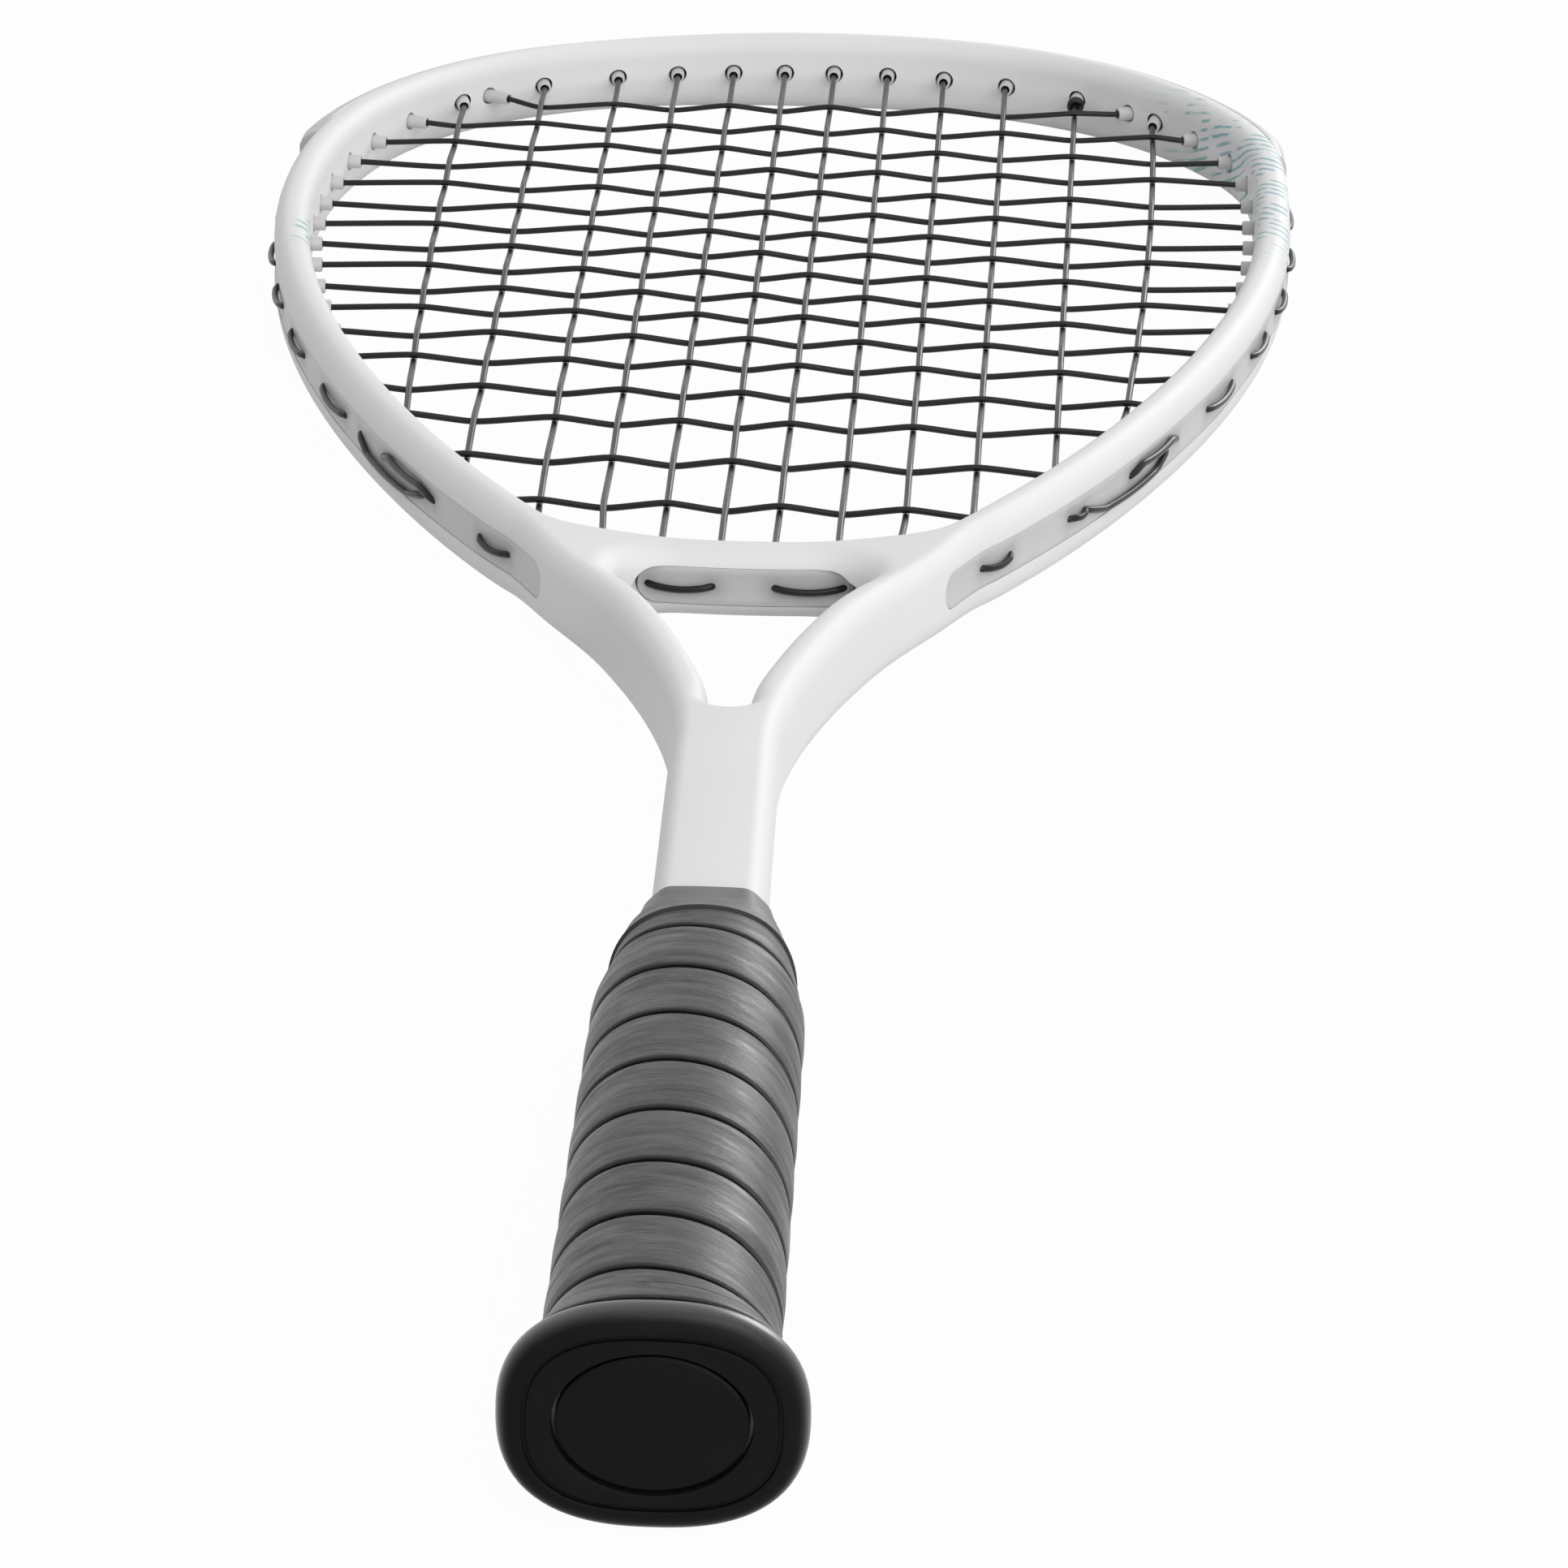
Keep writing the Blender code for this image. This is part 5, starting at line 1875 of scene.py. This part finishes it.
    def build_cap(self) -> bpy.types.Object:
        """Model the butt cap: flare, rounded rim, grooved end and the oval opening for the cover.

        Returns:
            The cap.
        """
        turn = self.around()
        rings = []
        for y in np.linspace(self.neck, self.flare_y + 0.0006, 14):
            rings.append(self.ring(turn, self.reach(turn, y, 0.0, 10.0), y))
        rings.append(self.oval_ring(self.less(self.flare, -0.0012), self.flare_y + 0.0002, 2.40))
        for part in np.linspace(math.pi / 2, 0, 7):
            size = self.less(self.rim, 0.0022 * (1 - math.cos(part)))
            rings.append(self.oval_ring(size, self.rim_y - 0.0018 * (1 - math.sin(part)), self.rim_power))
        for part in np.linspace(0, math.pi / 2, 9):
            size = self.less(self.rim, 2 * self.rim_round * (1 - math.cos(part)))
            y = self.rim_round * (1 - math.sin(part))
            rings.append(self.oval_ring(size, y, self.rim_power + 0.12 * part))
        base = self.less(self.rim, 2 * self.rim_round)
        deep = self.panel_groove
        for inset, y in ((0.0003, 0.00012), (0.0004, deep), (0.0013, deep), (0.0014, 0.00015), (0.0017, 0.0)):
            rings.append(self.oval_ring(self.less(base, inset), y, 2.62))
        for grow, y in ((0.0004, 0.0), (0.0001, 0.00008), (0.0, 0.0003), (0.0, self.ledge_y[0])):
            rings.append(self.oval_ring(self.less(self.cover, -grow), y))
        for y in self.ledge_y:
            rings.append(self.oval_ring(self.less(self.cover, 2 * self.ledge), y))
        wall, corner = self.hollow
        hollow = self.octagon(turn, self.width - wall, self.height - wall, self.chamfer - corner)
        for y in (self.ledge_y[1], self.neck):
            rings.append(self.ring(turn, hollow, y))
        item = Bench.skin("butt_cap_shell", np.array(rings), cap=False, ring=True)
        spots = Bench.spots(item)
        # rim marks the rim and flare for their coat and for the painted sheen in a lighter colour
        Bench.number(item, "rim", soft_step(spots[:, 1], 0.0004, 0.0022))
        Bench.smooth(item, 38.0)
        return item

    def build_cover(self) -> bpy.types.Object:
        """Model the oval cover: a plate with a softened edge and the plug that holds it.

        Returns:
            The cover.
        """
        plate = self.less(self.cover, 0.0009)
        plug = self.less(self.cover, 2 * (self.ledge + self.fit))
        face = self.cover_recess
        back = face + self.cover_thickness
        rings = []
        for share in (0.02, 0.3, 0.6, 0.85):
            rings.append(self.oval_ring([side * share for side in plate], face - 0.00012 * (1 - share**2)))
        for size, inset, y in (
            (plate, 0.0012, face), (plate, 0.0005, face + 0.00006), (plate, 0.0001, face + 0.0002),
            (plate, 0.0, face + 0.0004), (plate, 0.0, back), (plug, 0.0, back),
            (plug, 0.0, self.plug_y - 0.0003), (plug, 0.0006, self.plug_y),
        ):
            rings.append(self.oval_ring(self.less(size, inset), y))
        item = Bench.skin("butt_cover_plate", np.array(rings))
        Bench.number(item, "rim", np.zeros(len(item.data.vertices)))
        Bench.smooth(item, 38.0)
        return item


# Studio


@dataclass(frozen=True)
class Lamp:
    """A square area lamp: where it hangs, what it is aimed at, its side and its power."""

    name: str
    spot: tuple[float, float, float]
    aim: tuple[float, float, float]
    size: float
    power: float

    def hang(self) -> None:
        """Add the lamp to the scene."""
        data = bpy.data.lights.new(self.name, "AREA")
        data.size = self.size
        data.energy = self.power
        item = bpy.data.objects.new(self.name, data)
        bpy.context.collection.objects.link(item)
        item.location = self.spot
        item.rotation_euler = (Vector(self.aim) - Vector(self.spot)).to_track_quat("-Z", "Y").to_euler()


@dataclass
class Studio:
    """Pale floor, soft light and the camera at the photograph's angle.

    Two large lamps stand on the right, one high and one low in front, and a small one stands behind.
    """

    lens: float = 139.094
    spot: tuple[float, float, float] = (0.031631, -1.014798, 0.368896)
    right: tuple[float, float, float] = (0.999312, 0.032169, 0.018401)
    up: tuple[float, float, float] = (-0.028965, 0.368211, 0.929289)
    floor_size: float = 12.0
    floor_drop: float = 0.0002
    floor_white: float = 0.97
    room_level: float = 0.52
    lamps: tuple[Lamp, ...] = (
        Lamp("key", (1.60, -1.90, 3.10), (0.0, 0.0, 0.0), 3.2, 41.0),
        Lamp("fill", (1.60, -3.00, 0.90), (0.0, 0.0, 0.0), 2.6, 51.0),
        Lamp("back", (0.78, 1.45, 0.60), (0.0, -0.25, 0.0), 0.7, 8.5),
    )

    def camera(self) -> None:
        """Set the camera."""
        data = bpy.data.cameras.new("camera")
        data.sensor_width = 36.0
        data.sensor_fit = "AUTO"
        data.lens = self.lens
        data.clip_start, data.clip_end = 0.01, 60.0
        item = bpy.data.objects.new("camera", data)
        bpy.context.collection.objects.link(item)
        right, up = Vector(self.right), Vector(self.up)
        back = right.cross(up)
        turn = Matrix((right, up, back)).transposed().to_4x4()
        item.matrix_world = Matrix.Translation(self.spot) @ turn
        bpy.context.scene.camera = item

    @staticmethod
    def backdrop_rays(tree: bpy.types.NodeTree) -> bpy.types.NodeSocket:
        """Pick out the rays that see the backdrop as plain white.

        Args:
            tree: The nodes of the floor or the world.

        Returns:
            A socket that is 1 for those rays and 0 for others.
        """
        path = tree.nodes.new("ShaderNodeLightPath")
        total = path.outputs["Is Camera Ray"]
        for kind in ("Is Glossy Ray", "Is Transmission Ray"):
            most = tree.nodes.new("ShaderNodeMath")
            most.operation = "MAXIMUM"
            tree.links.new(total, most.inputs[0])
            tree.links.new(path.outputs[kind], most.inputs[1])
            total = most.outputs[0]
        return total

    def floor(self) -> None:
        """Lay a pale floor that shows white to the camera and keeps a soft shadow."""
        Bench.clear()
        bpy.ops.mesh.primitive_plane_add(size=self.floor_size, location=(0, 0, -self.floor_drop))
        item = bpy.context.object
        item.name = "floor"
        graph = Graph("pale_floor")
        graph.set(Base_Color=grey(0.66), Roughness=0.9, Specular_IOR_Level=0.0)
        seen = Value(graph, self.backdrop_rays(graph.tree))
        white = graph.node("ShaderNodeEmission", {}, {"Color": grey(1.0), "Strength": 1.0})
        plain = Value(graph, graph.shader.outputs[0])
        mixed = graph.node("ShaderNodeMixShader", {}, {0: seen * self.floor_white, 1: plain, 2: white})
        graph.tree.links.new(mixed.socket, graph.tree.nodes["Material Output"].inputs["Surface"])
        item.data.materials.append(graph.material)

    def light(self) -> None:
        """Hang the lamps in a pale room that shows white to the camera."""
        world = bpy.data.worlds.new("pale_room")
        world.use_nodes = True
        tree = world.node_tree
        room = tree.nodes["Background"]
        room.inputs["Color"].default_value = (1.0, 1.0, 1.0, 1.0)
        level = tree.nodes.new("ShaderNodeMath")
        level.operation = "MULTIPLY_ADD"
        level.inputs[1].default_value = 1.0 - self.room_level
        level.inputs[2].default_value = self.room_level
        tree.links.new(self.backdrop_rays(tree), level.inputs[0])
        tree.links.new(level.outputs[0], room.inputs["Strength"])
        bpy.context.scene.world = world
        for lamp in self.lamps:
            lamp.hang()


def finish_piece(
    item: bpy.types.Object, look: bpy.types.Material, slot: Slot, body: Body, *solids: str
) -> None:
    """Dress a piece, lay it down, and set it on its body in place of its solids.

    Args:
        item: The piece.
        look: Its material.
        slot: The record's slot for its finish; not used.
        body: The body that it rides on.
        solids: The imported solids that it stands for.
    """
    item.data.materials.clear()
    item.data.materials.append(look)
    Bench.settle(item)
    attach(item, body.value)
    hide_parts(*solids)
    LOG.info("%s: %d faces", item.name, len(item.data.polygons))


def main() -> None:
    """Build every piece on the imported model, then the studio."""
    logging.basicConfig(level=logging.INFO, format="%(message)s")
    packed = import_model()

    frame = Frame()
    bed = Bed(frame)
    guards = Guards(frame, bed)
    handle = Handle()

    hoop = frame.build(bed.batches())
    finish_piece(hoop, WhiteLacquer().make(), Slot.LACQUER, Body.RACKET, "frame", "throat_bridge")
    mains, crosses = bed.build()
    string = StringCoat("string_coat", 0.008).make()
    finish_piece(mains, string, Slot.STRING, Body.RACKET, "main_string")
    finish_piece(crosses, string, Slot.STRING, Body.RACKET, "cross_string")
    finish_piece(bed.knot(), string, Slot.STRING, Body.RACKET, "string_knot")
    frosted = FrostedGuard().make()
    for solid, item in guards.build().items():
        finish_piece(item, frosted, Slot.GUARD, Body.RACKET, solid)
    finish_piece(handle.build_wrap(), GripFilm().make(), Slot.GRIP, Body.RACKET, "grip_wrap")
    finish_piece(handle.build_tape(), TapeVinyl().make(), Slot.TAPE, Body.RACKET, "finishing_tape")
    cap = BlackPlastic("cap_plastic", 0.006, 0.40, 0.9).make()
    finish_piece(handle.build_cap(), cap, Slot.CAP, Body.RACKET, "butt_cap")
    plate = BlackPlastic("cover_plastic", 0.006, 0.36, 0.0, 3000.0).make()
    finish_piece(handle.build_cover(), plate, Slot.COVER, Body.COVER, "butt_cover")
    foam = HandleFoam().make()
    for name in ("handle_pallet_upper", "handle_pallet_lower"):
        node = packed["nodes"][name]
        node.data.materials.clear()
        node.data.materials.append(foam)
        LOG.info("%s: kept", name)

    studio = Studio()
    studio.floor()
    studio.light()
    studio.camera()
    bpy.context.scene.view_settings.view_transform = "Standard"
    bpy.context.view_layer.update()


if __name__ == "__main__":
    main()
